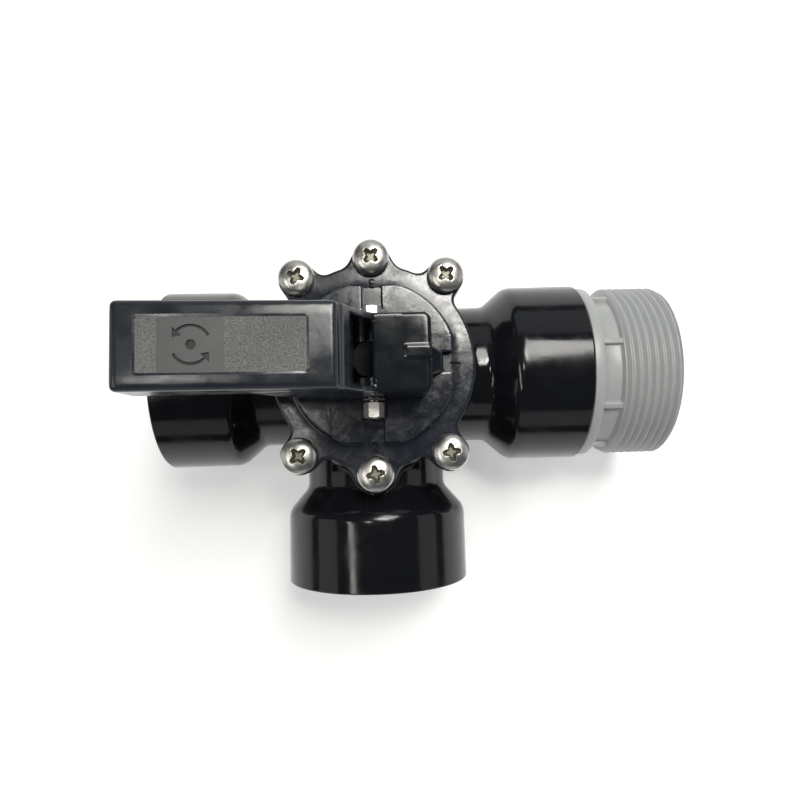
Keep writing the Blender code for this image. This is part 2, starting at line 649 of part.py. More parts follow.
def along_y(item, base, side):
    """Stand a piece made along +Z on the pivot's axis, from distance base outwards on one side."""
    item.data.transform(Matrix.Translation((0.0, 0.0, mm(base))))
    item.data.transform(Matrix.Rotation(-side * math.pi / 2, 4, "X"))
    item.data.transform(Matrix.Translation((0.0, 0.0, mm(PIN_HEIGHT))))
    return item


def make_pivot():
    """Bolt, nut and two washers on the axis about which the lever rocks."""
    inner_end = PIN_END - PIN_HEAD_LENGTH
    head = plate("head", [hexagon(PIN_HEAD_FLATS)], inner_end, PIN_END)
    shaft = rod("shaft", PIN_RADIUS, -PIN_END + 0.6, inner_end + 1, (0, 0), steps=20)
    bolt = along_y(join(head, shaft), 0, 1)
    finish_piece(bolt, "pivot_bolt", STEEL)
    nut = plate("nut", [hexagon(PIN_HEAD_FLATS), circle(PIN_RADIUS + GAP, 20)], inner_end, PIN_END)
    finish_piece(along_y(nut, 0, -1), "pivot_nut", STEEL)
    for number, side in enumerate((1, -1), 1):
        low = HANDLE_HALF_WIDTH + GAP
        disc = plate("washer", [circle(4.6, 24), circle(PIN_RADIUS + GAP, 20)], low, low + 0.9)
        finish_piece(along_y(disc, 0, side), f"pivot_washer_{number}", STEEL)


def thread_profile():
    """Crests of the thread at its pitch, from the free end back to the neck."""
    points = [(THREAD_ROOT_RADIUS - 0.6, ADAPTER_END), (THREAD_ROOT_RADIUS, ADAPTER_END - 0.4)]
    for crest in reversed(range(THREAD_CRESTS)):
        middle = THREAD_FIRST_CREST + crest * THREAD_PITCH
        points += [(THREAD_RADIUS, middle + 0.4), (THREAD_RADIUS, middle - 0.4)]
        if crest:
            points += [(THREAD_ROOT_RADIUS, middle - THREAD_PITCH / 2)]
    return points


def make_adapter():
    """Threaded adapter glued into the right hub: spigot, shoulder ring, ribbed neck and thread."""
    start = SOCKET_BOTTOM + GAP
    shoulder = HUB_END + GAP
    profile = [(FLOW_RADIUS, ADAPTER_END)] + thread_profile()
    profile += [(ADAPTER_NECK_RADIUS, ADAPTER_NECK_END), (ADAPTER_NECK_RADIUS, ADAPTER_FLANGE_END),
                (ADAPTER_FLANGE_RADIUS, ADAPTER_FLANGE_END), (ADAPTER_FLANGE_RADIUS, shoulder),
                (SOCKET_RADIUS - GAP, shoulder), (SOCKET_RADIUS - GAP, start), (FLOW_RADIUS, start)]
    adapter = turned("adapter", profile, COARSE, "X")
    for step in range(ADAPTER_RIBS):
        turn = Matrix.Rotation(math.radians(ADAPTER_RIB_TURN + 360 * step / ADAPTER_RIBS), 4, "X")
        rib = box("rib", (ADAPTER_FLANGE_END - 1, -1.4, ADAPTER_NECK_RADIUS - 3),
                  (ADAPTER_NECK_END + 1, 1.4, ADAPTER_NECK_RADIUS + 2.4), turn)
        adapter = join(adapter, rib)
    finish_piece(raised(adapter, FLOW_HEIGHT), "union_adapter", GREY_PLASTIC)


clear_scene()
PARTS = new_collection("three_way_valve")
TOOLS = new_collection("tools")
make_body()
make_cover()
make_cover_screws()
make_rings()
make_rotor()
make_port_seal()
make_spring()
make_spring_washers()
make_handle()
make_pivot()
make_adapter()
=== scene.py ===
"""Looks of the three way valve: fine surfaces, materials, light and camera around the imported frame.

Meshes are built in millimetres in the frame's own axes and brought to metres when they are filed.
"""
import itertools
import math

import bmesh
import bpy
import numpy
from mathutils import Matrix, Vector


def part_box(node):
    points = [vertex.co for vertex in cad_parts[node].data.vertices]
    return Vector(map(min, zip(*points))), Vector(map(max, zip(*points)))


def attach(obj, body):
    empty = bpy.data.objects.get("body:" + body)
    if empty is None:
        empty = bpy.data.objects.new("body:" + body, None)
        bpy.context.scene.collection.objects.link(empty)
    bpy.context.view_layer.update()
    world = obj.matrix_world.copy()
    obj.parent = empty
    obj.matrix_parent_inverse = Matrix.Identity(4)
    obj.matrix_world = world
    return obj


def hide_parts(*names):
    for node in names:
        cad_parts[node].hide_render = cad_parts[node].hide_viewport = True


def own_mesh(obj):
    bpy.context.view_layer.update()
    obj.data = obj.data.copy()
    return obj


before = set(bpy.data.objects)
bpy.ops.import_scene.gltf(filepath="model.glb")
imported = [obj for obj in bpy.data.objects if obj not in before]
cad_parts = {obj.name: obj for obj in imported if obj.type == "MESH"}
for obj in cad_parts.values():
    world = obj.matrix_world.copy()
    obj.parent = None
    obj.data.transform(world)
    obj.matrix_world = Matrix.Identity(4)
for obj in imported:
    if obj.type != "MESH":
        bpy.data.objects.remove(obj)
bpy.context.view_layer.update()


def node_box(node):
    """A CAD node's lowest and highest corners in millimetres."""
    low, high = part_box(node)
    return Vector(low) * 1000, Vector(high) * 1000


# Sizes and places, in millimetres. Those that the frame knows are read from it.
BODY_LOW, BODY_HIGH = node_box("valve_body")
COVER_LOW, COVER_HIGH = node_box("valve_cover")
ADAPTER_LOW, ADAPTER_HIGH = node_box("union_adapter")
HANDLE_LOW, HANDLE_HIGH = node_box("handle")
BOLT_LOW, BOLT_HIGH = node_box("pivot_bolt")
SPRING_LOW, SPRING_HIGH = node_box("return_spring")
PIN_HEIGHT = (BOLT_LOW.z + BOLT_HIGH.z) / 2
FLOW_HEIGHT = (ADAPTER_LOW.z + ADAPTER_HIGH.z) / 2
HUB_END = -BODY_LOW.x
PLATEAU_TOP = COVER_HIGH.z
FLANGE_TOP = COVER_LOW.z + 4.5     # the spigot hangs below it
HUB_RADIUS = 37.5
HUB_SHOULDER = 56.8
HUB_DRAFT = 0.22
NECK_END = 47.3
NECK_RADIUS = 29.0
SOCKET_RADIUS = 30.2
SOCKET_BOTTOM = 57.4
FLOW_RADIUS = 24.0
WINDOW_RADIUS = 18.0
CHAMBER_RADIUS = 36.0
DISC_RADIUS = 39.0
EAR_RADIUS = 7.2
EAR_FILLET = 5.6
SCREW_HOLE = 3.2
RIM_TOP = 77.0
RIM_SWELL = 0.45               # how much the rim rises towards the plateau
PLATEAU_RADIUS = 31.3
PLATEAU_FLAT = 29.5
NUMERAL_RADIUS = 31.4
NUMERAL_FLOOR = 76.6
NUMERAL_SIZE = 5.4
NOTCH_HALF = 3.8
NOTCH_INNER = 20.5
SPIGOT_RADIUS = 30.8
SPIGOT_BOTTOM = 66.8
RING_GROOVE_RADIUS = 28.2
RING_GROOVE_LOW = 67.6
RING_GROOVE_HIGH = 70.2
SPRING_ROOM_RADIUS = 18.0      # round the sleeve that guides the stem
SPRING_ROOM_TOP = 77.5
SLEEVE_RADIUS = 10.5
SLEEVE_BOTTOM = 68.0
STEM_BORE = 7.3
SCREWS = [f"cover_screw_{number}" for number in range(1, 7)]
SCREW_TURNS = dict(zip(SCREWS, (40, 46, -24, 40, 12, 8)))
SCREW_HEAD_RADIUS = 6.9
SCREW_CREST = 2.9
SCREW_THREAD_TURNS = 9
HANDLE_BOTTOM = HANDLE_LOW.z
GRIP_LEFT = HANDLE_LOW.x
GRIP_TOP = HANDLE_HIGH.z
GRIP_RIGHT = -9.9
GRIP_FALL = 5.0               # how much lower the grip's top is at its inner end
GRIP_THICKNESS = 17.0
GRIP_KNEE = -38.0              # where the grip's underside turns down into the cheeks
LEVER_WALL = 2.8
PANEL_HALF = 8.6               # half the width of the grained panel with its sloping border
PANEL_START = -25.2            # along the grip from its middle
PANEL_END = 23.8
BAND_START = -19.1             # the smooth band across the panel
BAND_END = -0.2
CAP_LEFT = 0.2
CAP_RIGHT = 19.8
CAP_TOP = 109.2
POINTER_TOP = CAP_TOP + 0.15
NOSE_BOTTOM = 82.2
NOSE_TOP = 90.0
CHEEK_HALF = 13.4
CHEEK_THICKNESS = 2.4
PIVOT_FLATS = 6.4              # width over the flats of the pivot's bolt head and nut
PIVOT_RADIUS = 2.38
PIVOT_CREST = 1.85             # thread at the nut's end
THREAD_RADIUS = 36.05
THREAD_ROOT = 34.3
THREAD_PITCH = 3.175
THREAD_FIRST = 99.16           # so that a crest passes the top at 100.75
ADAPTER_NECK_RADIUS = 32.2
ADAPTER_NECK_END = 98.3
ADAPTER_RING_END = 90.5
ADAPTER_RING_RADIUS = 36.4
ADAPTER_RIBS = 8
ADAPTER_RIB_TURN = 30.4        # degrees from the top to the first rib
BODY_CELL, COVER_CELL, LEVER_CELL = 0.95, 0.42, 0.6      # mesh size of the moulded surfaces

METRES = Matrix.Scale(0.001, 4)
ALONG_X = Matrix.Rotation(math.pi / 2, 4, "Y")
ALONG_MINUS_Y = Matrix.Rotation(math.pi / 2, 4, "X")
AT_FLOW = Matrix.Translation((0, 0, FLOW_HEIGHT))


# -------- outlines
def on_circle(radius, degrees):
    angle = math.radians(degrees)
    return (radius * math.cos(angle), radius * math.sin(angle))


def arc(radius, start, end, steps):
    return [on_circle(radius, start + (end - start) * step / steps) for step in range(steps + 1)]


def circle(radius, steps):
    return arc(radius, 0, 360, steps)[:-1]


def rounded(corners, fineness=7.0):
    """A closed outline whose corners (x, y, radius) are replaced by arcs; without radius they stay sharp."""
    points = []
    count = len(corners)
    for index, corner in enumerate(corners):
        here = Vector(corner[:2])
        if len(corner) < 3:
            points.append(tuple(here))
            continue
        radius = corner[2]
        before = (Vector(corners[index - 1][:2]) - here).normalized()
        after = (Vector(corners[(index + 1) % count][:2]) - here).normalized()
        opening = before.angle(after)
        setback = radius / math.tan(opening / 2)
        centre = here + (before + after).normalized() * (radius / math.sin(opening / 2))
        start = here + before * setback - centre
        end = here + after * setback - centre
        turn = start.angle_signed(end)
        steps = max(2, round(math.degrees(abs(turn)) / fineness))
        for step in range(steps + 1):
            share = Matrix.Rotation(-turn * step / steps, 2)
            points.append(tuple(centre + share @ start))
    return points


def rounded_box_outline(low, high, radius):
    (x0, y0), (x1, y1) = low, high
    return rounded([(x0, y0, radius), (x1, y0, radius), (x1, y1, radius), (x0, y1, radius)])


# -------- meshes
def new_mesh(work):
    bmesh.ops.remove_doubles(work, verts=work.verts, dist=0.0005)
    bmesh.ops.recalc_face_normals(work, faces=work.faces)
    mesh = bpy.data.meshes.new("mesh")
    work.to_mesh(mesh)
    work.free()
    return mesh


def from_grid(rows, closed_rows=True):
    """Quads between closed rows of points; a row may be a single point, which ends the shape there."""
    work = bmesh.new()
    made = [[work.verts.new(point) for point in row] for row in rows]
    pairs = list(zip(made, made[1:]))
    if closed_rows:
        pairs.append((made[-1], made[0]))
    for upper, lower in pairs:
        count = max(len(upper), len(lower))
        for index in range(count):
            following = (index + 1) % count
            ring = [upper[index % len(upper)], lower[index % len(lower)],
                    lower[following % len(lower)], upper[following % len(upper)]]
            ring = list(dict.fromkeys(ring))
            if len(ring) > 2:
                work.faces.new(ring)
    return new_mesh(work)


def lathe(profile, steps=128, matrix=None):
    """A turned solid from (radius, height) points; it is a closed ring unless it starts on the axis."""
    rows = []
    for radius, height in profile:
        if radius < 0.0001:
            rows.append([(0.0, 0.0, height)])
        else:
            rows.append([(x, y, height) for x, y in circle(radius, steps)])
    mesh = from_grid(rows, closed_rows=profile[0][0] > 0.0001)
    if matrix is not None:
        mesh.transform(matrix)
    return mesh


def cylinder(radius, low, high, steps, matrix=None):
    return lathe([(0, low), (radius, low), (radius, high), (0, high)], steps, matrix)


def loft(rows):
    """A solid through rows of equally many points, closed by flat ends."""
    work = bmesh.new()
    rings = [[work.verts.new(point) for point in row] for row in rows]
    for upper, lower in zip(rings, rings[1:]):
        for index in range(len(upper)):
            following = (index + 1) % len(upper)
            work.faces.new((upper[index], upper[following], lower[following], lower[index]))
    work.faces.new(rings[0])
    work.faces.new(rings[-1])
    return new_mesh(work)


def extrude(outline, low, high, matrix=None):
    mesh = loft([[(x, y, height) for x, y in outline] for height in (low, high)])
    if matrix is not None:
        mesh.transform(matrix)
    return mesh


def box(low, high):
    (x0, y0, z0), (x1, y1, z1) = low, high
    return extrude([(x0, y0), (x1, y0), (x1, y1), (x0, y1)], z0, z1)


def soften(mesh, width, segments, angle, where=None):
    """Rounds the edges that are sharper than angle and that where() accepts."""
    work = bmesh.new()
    work.from_mesh(mesh)
    limit = math.radians(angle)
    chosen = [edge for edge in work.edges
              if len(edge.link_faces) == 2 and edge.calc_face_angle() > limit
              and (where is None or where((edge.verts[0].co + edge.verts[1].co) / 2))]
    bmesh.ops.bevel(work, geom=chosen, offset=width, segments=segments, profile=0.5, affect="EDGES",
                    clamp_overlap=True)
    return new_mesh(work)


def new_object(name, data):
    item = bpy.data.objects.new(name, data)
    bpy.context.scene.collection.objects.link(item)
    return item


def combined(mesh, other, operation, solver="EXACT"):
    first, second = new_object("first", mesh), new_object("second", other)
    modifier = first.modifiers.new("Boolean", "BOOLEAN")
    modifier.operation = operation
    modifier.solver = solver
    modifier.object = second
    bpy.context.view_layer.update()
    evaluated = first.evaluated_get(bpy.context.evaluated_depsgraph_get())
    result = bpy.data.meshes.new_from_object(evaluated)
    for item in (first, second):
        bpy.data.objects.remove(item, do_unlink=True)
    return result


def joined(mesh, *others, solver="EXACT"):
    for other in others:
        mesh = combined(mesh, other, "UNION", solver)
    return mesh


def cut(mesh, *others, solver="EXACT"):
    for other in others:
        mesh = combined(mesh, other, "DIFFERENCE", solver)
    return mesh


# -------- moulded surfaces
# A moulded piece is a signed distance in millimetres, negative inside, of points in rows of x, y, z.
def meet(first, second, radius):
    """Both solids at once, with the edge between them rounded."""
    corner = numpy.hypot(numpy.maximum(first + radius, 0), numpy.maximum(second + radius, 0))
    return numpy.minimum(-radius, numpy.maximum(first, second)) + corner


def merge(first, second, radius):
    """Either solid, with a hollow fillet between them."""
    corner = numpy.hypot(numpy.maximum(radius - first, 0), numpy.maximum(radius - second, 0))
    return numpy.maximum(radius, numpy.minimum(first, second)) - corner


def polygon_distance(outline, across, up):
    """Signed distance from a closed outline."""
    nearest = numpy.full(across.shape, numpy.inf)
    inside = numpy.zeros(across.shape, dtype=bool)
    for (x0, y0), (x1, y1) in zip(outline, outline[1:] + outline[:1]):
        dx, dy = x1 - x0, y1 - y0
        share = numpy.clip(((across - x0) * dx + (up - y0) * dy) / (dx * dx + dy * dy), 0, 1)
        nearest = numpy.minimum(nearest, numpy.hypot(across - x0 - share * dx, up - y0 - share * dy))
        if dy:
            crosses = (y0 > up) != (y1 > up)
            inside ^= crosses & (across < x0 + (up - y0) * dx / dy)
    return numpy.where(inside, -nearest, nearest)


def settled(points, distance, steps):
    """Points moved along the distance's slope onto its zero level."""
    probe = 0.02
    for _ in range(steps):
        slope = numpy.stack([distance(points + offset) - distance(points - offset)
                             for offset in numpy.eye(3) * probe], axis=1) / (2 * probe)
        steep = numpy.maximum((slope ** 2).sum(axis=1), 0.25)
        points = points - slope * numpy.clip(distance(points) / steep, -0.6, 0.6)[:, None]
    return points


def skin(distance, low, high, cell):
    """A closed mesh of small quads on the zero level of a distance, evened out as it settles."""
    axes = [numpy.arange(start - 2 * cell, end + 3 * cell, cell) for start, end in zip(low, high)]
    grid = numpy.stack(numpy.meshgrid(*axes, indexing="ij"), axis=-1)
    inside = distance(grid.reshape(-1, 3)).reshape(grid.shape[:3]) < 0
    size = [count - 1 for count in inside.shape]
    full = sum(inside[i:size[0] + i, j:size[1] + j, k:size[2] + k].astype(numpy.int8)
               for i, j, k in itertools.product((0, 1), repeat=3))
    mixed = (full > 0) & (full < 8)
    numbers = numpy.cumsum(mixed).reshape(mixed.shape) - 1
    points = grid[:-1, :-1, :-1][mixed] + cell / 2
    quads = []
    for axis in range(3):
        along = numpy.moveaxis(inside, axis, 0)
        cells = numpy.moveaxis(numbers, axis, 0)
        i, j, k = numpy.nonzero(along[:-1, 1:-1, 1:-1] != along[1:, 1:-1, 1:-1])
        quads.append(numpy.stack([cells[i, j, k], cells[i, j + 1, k],
                                  cells[i, j + 1, k + 1], cells[i, j, k + 1]], axis=1))
    quads = numpy.concatenate(quads)
    share = numpy.bincount(quads.ravel(), minlength=len(points))
    for _ in range(4):
        middles = points[quads].mean(axis=1).repeat(4, axis=0)
        points = numpy.stack([numpy.bincount(quads.ravel(), middles[:, axis], len(points)) / share
                              for axis in range(3)], axis=1)
        points = settled(points, distance, 2)
    points = settled(points, distance, 3)
    mesh = bpy.data.meshes.new("skin")
    mesh.from_pydata(points.tolist(), [], quads.tolist())
    work = bmesh.new()
    work.from_mesh(mesh)
    bmesh.ops.recalc_face_normals(work, faces=work.faces)
    work.to_mesh(mesh)
    work.free()
    return mesh


def slab(height, low, high):
    """Signed distance from the room between two parallel planes."""
    return numpy.abs(height - (low + high) / 2) - (high - low) / 2


def file_piece(name, mesh, materials, body, nodes, smooth_angle):
    """Brings a finished mesh to metres, gives it its materials and puts it on its CAD body."""
    mesh.name = name
    mesh.transform(METRES)
    mesh.materials.clear()
    for material in materials:
        mesh.materials.append(material)
    mesh.shade_smooth()
    mesh.set_sharp_from_angle(angle=math.radians(smooth_angle))
    item = new_object(name, mesh)
    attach(item, body)
    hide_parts(*nodes)
    return item


# -------- valve body
def ear_centres():
    """Each screw's place in plan, read from its CAD node."""
    middles = [sum(node_box(name), Vector()) / 2 for name in SCREWS]
    return [(middle.x, middle.y) for middle in middles]


EARS = ear_centres()


def eared_plan(x, y):
    """Plan distance of the disc with its six ears."""
    plan = numpy.hypot(x, y) - DISC_RADIUS
    for across, up in EARS:
        plan = merge(plan, numpy.hypot(x - across, y - up) - EAR_RADIUS, EAR_FILLET)
    return plan


def branch_distance(reach, radius):
    """A pipe branch from its distance along and its distance off the axis: neck, cone and hub."""
    rise = HUB_RADIUS - HUB_DRAFT - NECK_RADIUS
    run = HUB_SHOULDER - NECK_END
    slant = math.hypot(rise, run)
    cone = ((radius - NECK_RADIUS) * run - (reach - NECK_END) * rise) / slant
    draft = HUB_DRAFT * (HUB_END - reach) / (HUB_END - HUB_SHOULDER)
    hub = meet(cone, radius - HUB_RADIUS + draft, 1.6)
    return numpy.maximum(merge(radius - NECK_RADIUS, hub, 1.2), reach - HUB_END - 2)


def body_distance(points):
    """Chamber, in-line branches, side branch and flange, without any hollow."""
    x, y, z = points.T
    high = z - FLOW_HEIGHT
    off_stem = numpy.hypot(x, y)
    foot_slope = ((off_stem - CHAMBER_RADIUS + 5) * 6 - z * 5) / math.hypot(5, 6)
    chamber = meet(meet(off_stem - CHAMBER_RADIUS, foot_slope, 2.5), -z, 0.8)
    in_line = branch_distance(numpy.abs(x), numpy.hypot(y, high))
    branch = numpy.where(y < 0, branch_distance(-y, numpy.hypot(x, high)), 30.0)
    flange = meet(eared_plan(x, y), slab(z, FLANGE_TOP - 9, FLANGE_TOP), 0.8)
    whole = merge(merge(in_line, branch, 4.0), numpy.maximum(chamber, z - FLANGE_TOP + 1), 3.5)
    return merge(whole, flange, 2.5)


def branch_bore(bottom):
    """Turned cutter for one branch: pipe socket with its lead-in, pipe stop, bore and window."""
    past = HUB_END + 6
    return lathe([(0, bottom), (WINDOW_RADIUS, bottom), (WINDOW_RADIUS, 36), (FLOW_RADIUS, 42),
                  (FLOW_RADIUS, SOCKET_BOTTOM), (SOCKET_RADIUS, SOCKET_BOTTOM),
                  (SOCKET_RADIUS, HUB_END - 1.0),
                  (SOCKET_RADIUS + 0.9, HUB_END + 0.1), (SOCKET_RADIUS + 0.9, past), (0, past)], 160)


def mouth_trim():
    """Turned cutter that squares a hub's end and breaks its outer edge."""
    past = HUB_END + 6
    return lathe([(0, HUB_END), (HUB_RADIUS - 0.7, HUB_END), (HUB_RADIUS - 0.25, HUB_END - 0.2),
                  (HUB_RADIUS + 0.1, HUB_END - 0.8), (HUB_RADIUS + 3, HUB_END - 0.8),
                  (HUB_RADIUS + 3, past), (0, past)], 200)


def screw_holes(low, high):
    return [cylinder(SCREW_HOLE, low, high, 32, Matrix.Translation((x, y, 0))) for x, y in EARS]


def make_body(materials):
    low = (BODY_LOW.x - 2, BODY_LOW.y - 2, 0)
    high = (-BODY_LOW.x + 2, BODY_HIGH.y, BODY_HIGH.z)
    body = skin(body_distance, low, high, BODY_CELL)
    left = AT_FLOW @ Matrix.Rotation(math.pi, 4, "Z") @ ALONG_X
    right = AT_FLOW @ ALONG_X
    front = AT_FLOW @ ALONG_MINUS_Y
    cutters = []
    for way in (left, right, front):
        cutters += [branch_bore(5), mouth_trim()]
        for cutter in cutters[-2:]:
            cutter.transform(way)
    room = lathe([(0, 7), (29.9, 7), (31.0, 63.3), (31.2, 63.3), (31.2, FLANGE_TOP - 0.5),
                  (31.8, FLANGE_TOP + 0.1), (31.8, FLANGE_TOP + 4), (0, FLANGE_TOP + 4)], 160)
    journal = cylinder(5.3, 2.3, 8, 48)
    body = cut(body, *cutters, room, journal, *screw_holes(64, 75), solver="MANIFOLD")
    file_piece("body_moulding", body, materials, "root", ["valve_body"], 24)


# -------- cover
def cover_distance(points):
    """Dished rim with six ears, raised plateau with three flats, and three notches down to the rim."""
    x, y, z = points.T
    outline = numpy.hypot(x, y) - PLATEAU_RADIUS
    for flat in (x, y, -y):
        outline = meet(outline, flat - PLATEAU_FLAT, 0.8)
    swell = RIM_SWELL * numpy.exp(-numpy.maximum(outline, 0) / 2.4)
    rim = meet(eared_plan(x, y), slab(z - swell, FLANGE_TOP, RIM_TOP), 0.9)
    plateau = meet(outline, slab(z, RIM_TOP - 3, PLATEAU_TOP), 0.4)
    cover = merge(rim, plateau, 1.1)
    floor = RIM_TOP + swell
    for along, across in ((x, y), (y, x), (-y, x)):
        notch = numpy.maximum(numpy.abs(across) - NOTCH_HALF, NOTCH_INNER - along)
        edge = 0.02 + 0.33 * numpy.clip((z - floor) / 0.8, 0, 1)
        cover = meet(cover, -numpy.maximum(notch, floor - z), edge)
    return cover


def numeral(figure, radius, bearing):
    """A cutter for a figure near the cover's edge, read from outside."""
    curve_depth = 0.9
    curve = bpy.data.curves.new("numeral", "FONT")
    curve.body = figure
    curve.size = NUMERAL_SIZE
    curve.align_x = "CENTER"
    curve.align_y = "CENTER"
    curve.extrude = curve_depth
    curve.offset = 0.12
    curve.resolution_u = 4
    item = new_object("numeral", curve)
    bpy.context.view_layer.update()
    mesh = bpy.data.meshes.new_from_object(item.evaluated_get(bpy.context.evaluated_depsgraph_get()))
    bpy.data.objects.remove(item, do_unlink=True)
    x, y = on_circle(radius, bearing)
    mesh.transform(Matrix.Translation((x, y, NUMERAL_FLOOR + curve_depth)) @
                   Matrix.Rotation(math.radians(bearing + 90), 4, "Z"))
    work = bmesh.new()
    work.from_mesh(mesh)
    return new_mesh(work)


def make_cover(materials):
    low = (COVER_LOW.x, COVER_LOW.y, FLANGE_TOP)
    cover = skin(cover_distance, low, COVER_HIGH, COVER_CELL)
    below, above, edge = 60, 84, 0.5
    spigot = lathe([(0, SPIGOT_BOTTOM), (SPIGOT_RADIUS - 0.4, SPIGOT_BOTTOM),
                    (SPIGOT_RADIUS, SPIGOT_BOTTOM + 0.4), (SPIGOT_RADIUS, RING_GROOVE_LOW),
                    (RING_GROOVE_RADIUS, RING_GROOVE_LOW), (RING_GROOVE_RADIUS, RING_GROOVE_HIGH),
                    (SPIGOT_RADIUS, RING_GROOVE_HIGH), (SPIGOT_RADIUS, 74), (0, 74)], 160)
    pocket = lathe([(SLEEVE_RADIUS, below), (SPRING_ROOM_RADIUS, below),
                    (SPRING_ROOM_RADIUS, SPRING_ROOM_TOP - edge),
                    (SPRING_ROOM_RADIUS - edge, SPRING_ROOM_TOP),
                    (SLEEVE_RADIUS + edge, SPRING_ROOM_TOP), (SLEEVE_RADIUS, SPRING_ROOM_TOP - edge)], 96)
    under = cylinder(SLEEVE_RADIUS + 0.5, below, SLEEVE_BOTTOM, 96)
    bore = lathe([(0, below), (STEM_BORE, below), (STEM_BORE, 81.1), (STEM_BORE + edge, 81.6),
                  (STEM_BORE + edge, above), (0, above)], 64)
    cover = joined(cover, spigot, solver="MANIFOLD")
    cover = cut(cover, pocket, under, bore, *screw_holes(below, above), solver="MANIFOLD")
    figures = [numeral("1", NUMERAL_RADIUS, 0), numeral("2", NUMERAL_RADIUS, -90),
               numeral("3", NUMERAL_RADIUS, 90)]
    cover = cut(cover, *figures)
    piece = file_piece("cover_moulding", cover, materials, "root", ["valve_cover"], 24)
    # The numerals' floors and walls take the near-black second material: painted shade in the engraving.
    for face in piece.data.polygons:
        spot = face.center * 1000
        near = abs(math.hypot(spot.x, spot.y) - NUMERAL_RADIUS) < 3 and min(abs(spot.x), abs(spot.y)) < 2.5
        if near and spot.x > -5 and NUMERAL_FLOOR - 0.05 < spot.z < RIM_TOP - 0.05:
            face.material_index = 1


# -------- cover screws
def recess_plan(reach, waist):
    """A cross recess seen from above: four arms with hollow flanks between them."""
    outline = []
    for arm in range(4):
        tip = 90 * arm
        outline += [on_circle(reach, tip - 13), on_circle(reach * 1.03, tip), on_circle(reach, tip + 13)]
        outline += [on_circle(waist * (1 + 0.22 * abs(step)), tip + 45 + 11 * step) for step in (-1, 0, 1)]
    return outline


def make_screw(name, materials):
    """Pan head screw: domed head, cross recess with a worn edge, threaded shank."""
    low, high = node_box(name)
    middle = (low + high) / 2
    seat = RIM_TOP + 0.3
    height = high.z - seat
    crown = [(SCREW_HEAD_RADIUS * math.sin(math.radians(step)),
              seat + 1.35 + (height - 1.35) * math.cos(math.radians(step)) ** 0.72)
             for step in (0, 9, 18, 27, 36, 45, 54, 63, 71, 78, 84, 88)]
    skirt = [(SCREW_HEAD_RADIUS, seat + 1.0), (SCREW_HEAD_RADIUS, seat + 0.45),
             (SCREW_HEAD_RADIUS - 0.4, seat)]
    shank = [(SCREW_CREST + 0.5, seat), (SCREW_CREST, seat - 0.5)]
    for turn in range(SCREW_THREAD_TURNS):
        crest = seat - 1.6 - turn * 1.2
        shank += [(SCREW_CREST, crest), (SCREW_CREST, crest - 0.15), (SCREW_CREST - 0.6, crest - 0.6)]
    shank += [(2.2, low.z + 0.6), (1.6, low.z), (0, low.z)]
    head = lathe(crown + skirt + shank, 72)
    top = high.z
    recess = loft([[(x * size, y * size, z) for x, y in recess_plan(3.3, 1.75)] for size, z in
                   ((1.16, top + 1.0), (1.03, top - 0.35), (0.86, top - 1.6), (0.5, top - 2.5))])
    recess.transform(Matrix.Rotation(math.radians(SCREW_TURNS[name]), 4, "Z"))
    screw = cut(head, recess)
    screw = soften(screw, 0.16, 2, 28, lambda spot: math.hypot(spot.x, spot.y) < 3.6 and spot.z > top - 1.3)
    screw.transform(Matrix.Translation((middle.x, middle.y, 0)))
    piece = file_piece(name.replace("cover", "head_of_cover"), screw, materials, "root",
                       [name], 30)
    for face in piece.data.polygons:
        off_axis = math.hypot(face.center.x * 1000 - middle.x, face.center.y * 1000 - middle.y)
        depth = top - face.center.z * 1000
        if off_axis < 3.3 and depth < 4 and (face.normal.z < 0.55 or depth > 1.3):
            face.material_index = 1


# -------- lever
def grip_top(x):
    """Height of the grip's sloping top."""
    return GRIP_TOP - GRIP_FALL * (x - GRIP_LEFT) / (GRIP_RIGHT - GRIP_LEFT)


def grip_outline():
    """Side view of the hollow grip, with its end wall above the pocket."""
    left = grip_top(GRIP_LEFT)
    knee = grip_top(GRIP_KNEE) - GRIP_THICKNESS
    return rounded([(GRIP_LEFT, left, 2.0), (GRIP_LEFT, left - GRIP_THICKNESS, 1.2), (GRIP_KNEE, knee, 6.0),
                    (-29.0, 101.5), (GRIP_RIGHT, 101.5), (GRIP_RIGHT, grip_top(GRIP_RIGHT), 1.8)],
                   fineness=12)


def cheek_outline():
    """Side view of the cheeks and cap: the crowned cap, the run up to the grip and the heel."""
    crown = [(CAP_RIGHT - 2.2 - 16.9 * step / 6, CAP_TOP - 0.1 * (1 - step / 4.5) ** 2) for step in range(7)]
    past = CAP_RIGHT + 3
    knee = grip_top(GRIP_KNEE) - GRIP_THICKNESS
    return rounded([(GRIP_KNEE, knee, 6.0), (-15.0, HANDLE_BOTTOM, 2.0), (past, HANDLE_BOTTOM),
                    (past, CAP_TOP - 0.35)] + crown +
                   [(-3.3, 113.3, 8.0), (-6.1, 118.9, 14.0), (-8.5, 124.3, 4.0), (GRIP_RIGHT - 0.8, 126.6),
                    (-16.0, 124.5), (GRIP_KNEE, 121.0)], fineness=12)


def lever_hollow():
    """Side view of the room inside: under the grip, the open pocket before the cap and under it."""
    wall = LEVER_WALL
    below = HANDLE_BOTTOM - 20
    return [(GRIP_LEFT + wall, below), (CAP_RIGHT - wall, below), (CAP_RIGHT - wall, CAP_TOP - 3.4),
            (CAP_LEFT, CAP_TOP - 3.4), (CAP_LEFT, GRIP_TOP + 9), (GRIP_RIGHT + 0.02, GRIP_TOP + 9),
            (GRIP_RIGHT + 0.02, 127.4), (GRIP_RIGHT + 3.2, 121.2), (GRIP_RIGHT + 3.4, PIN_HEIGHT + 9),
            (GRIP_RIGHT + 0.4, PIN_HEIGHT + 9), (GRIP_RIGHT - wall, 124.2),
            (GRIP_LEFT + wall, GRIP_TOP - 3.6)]


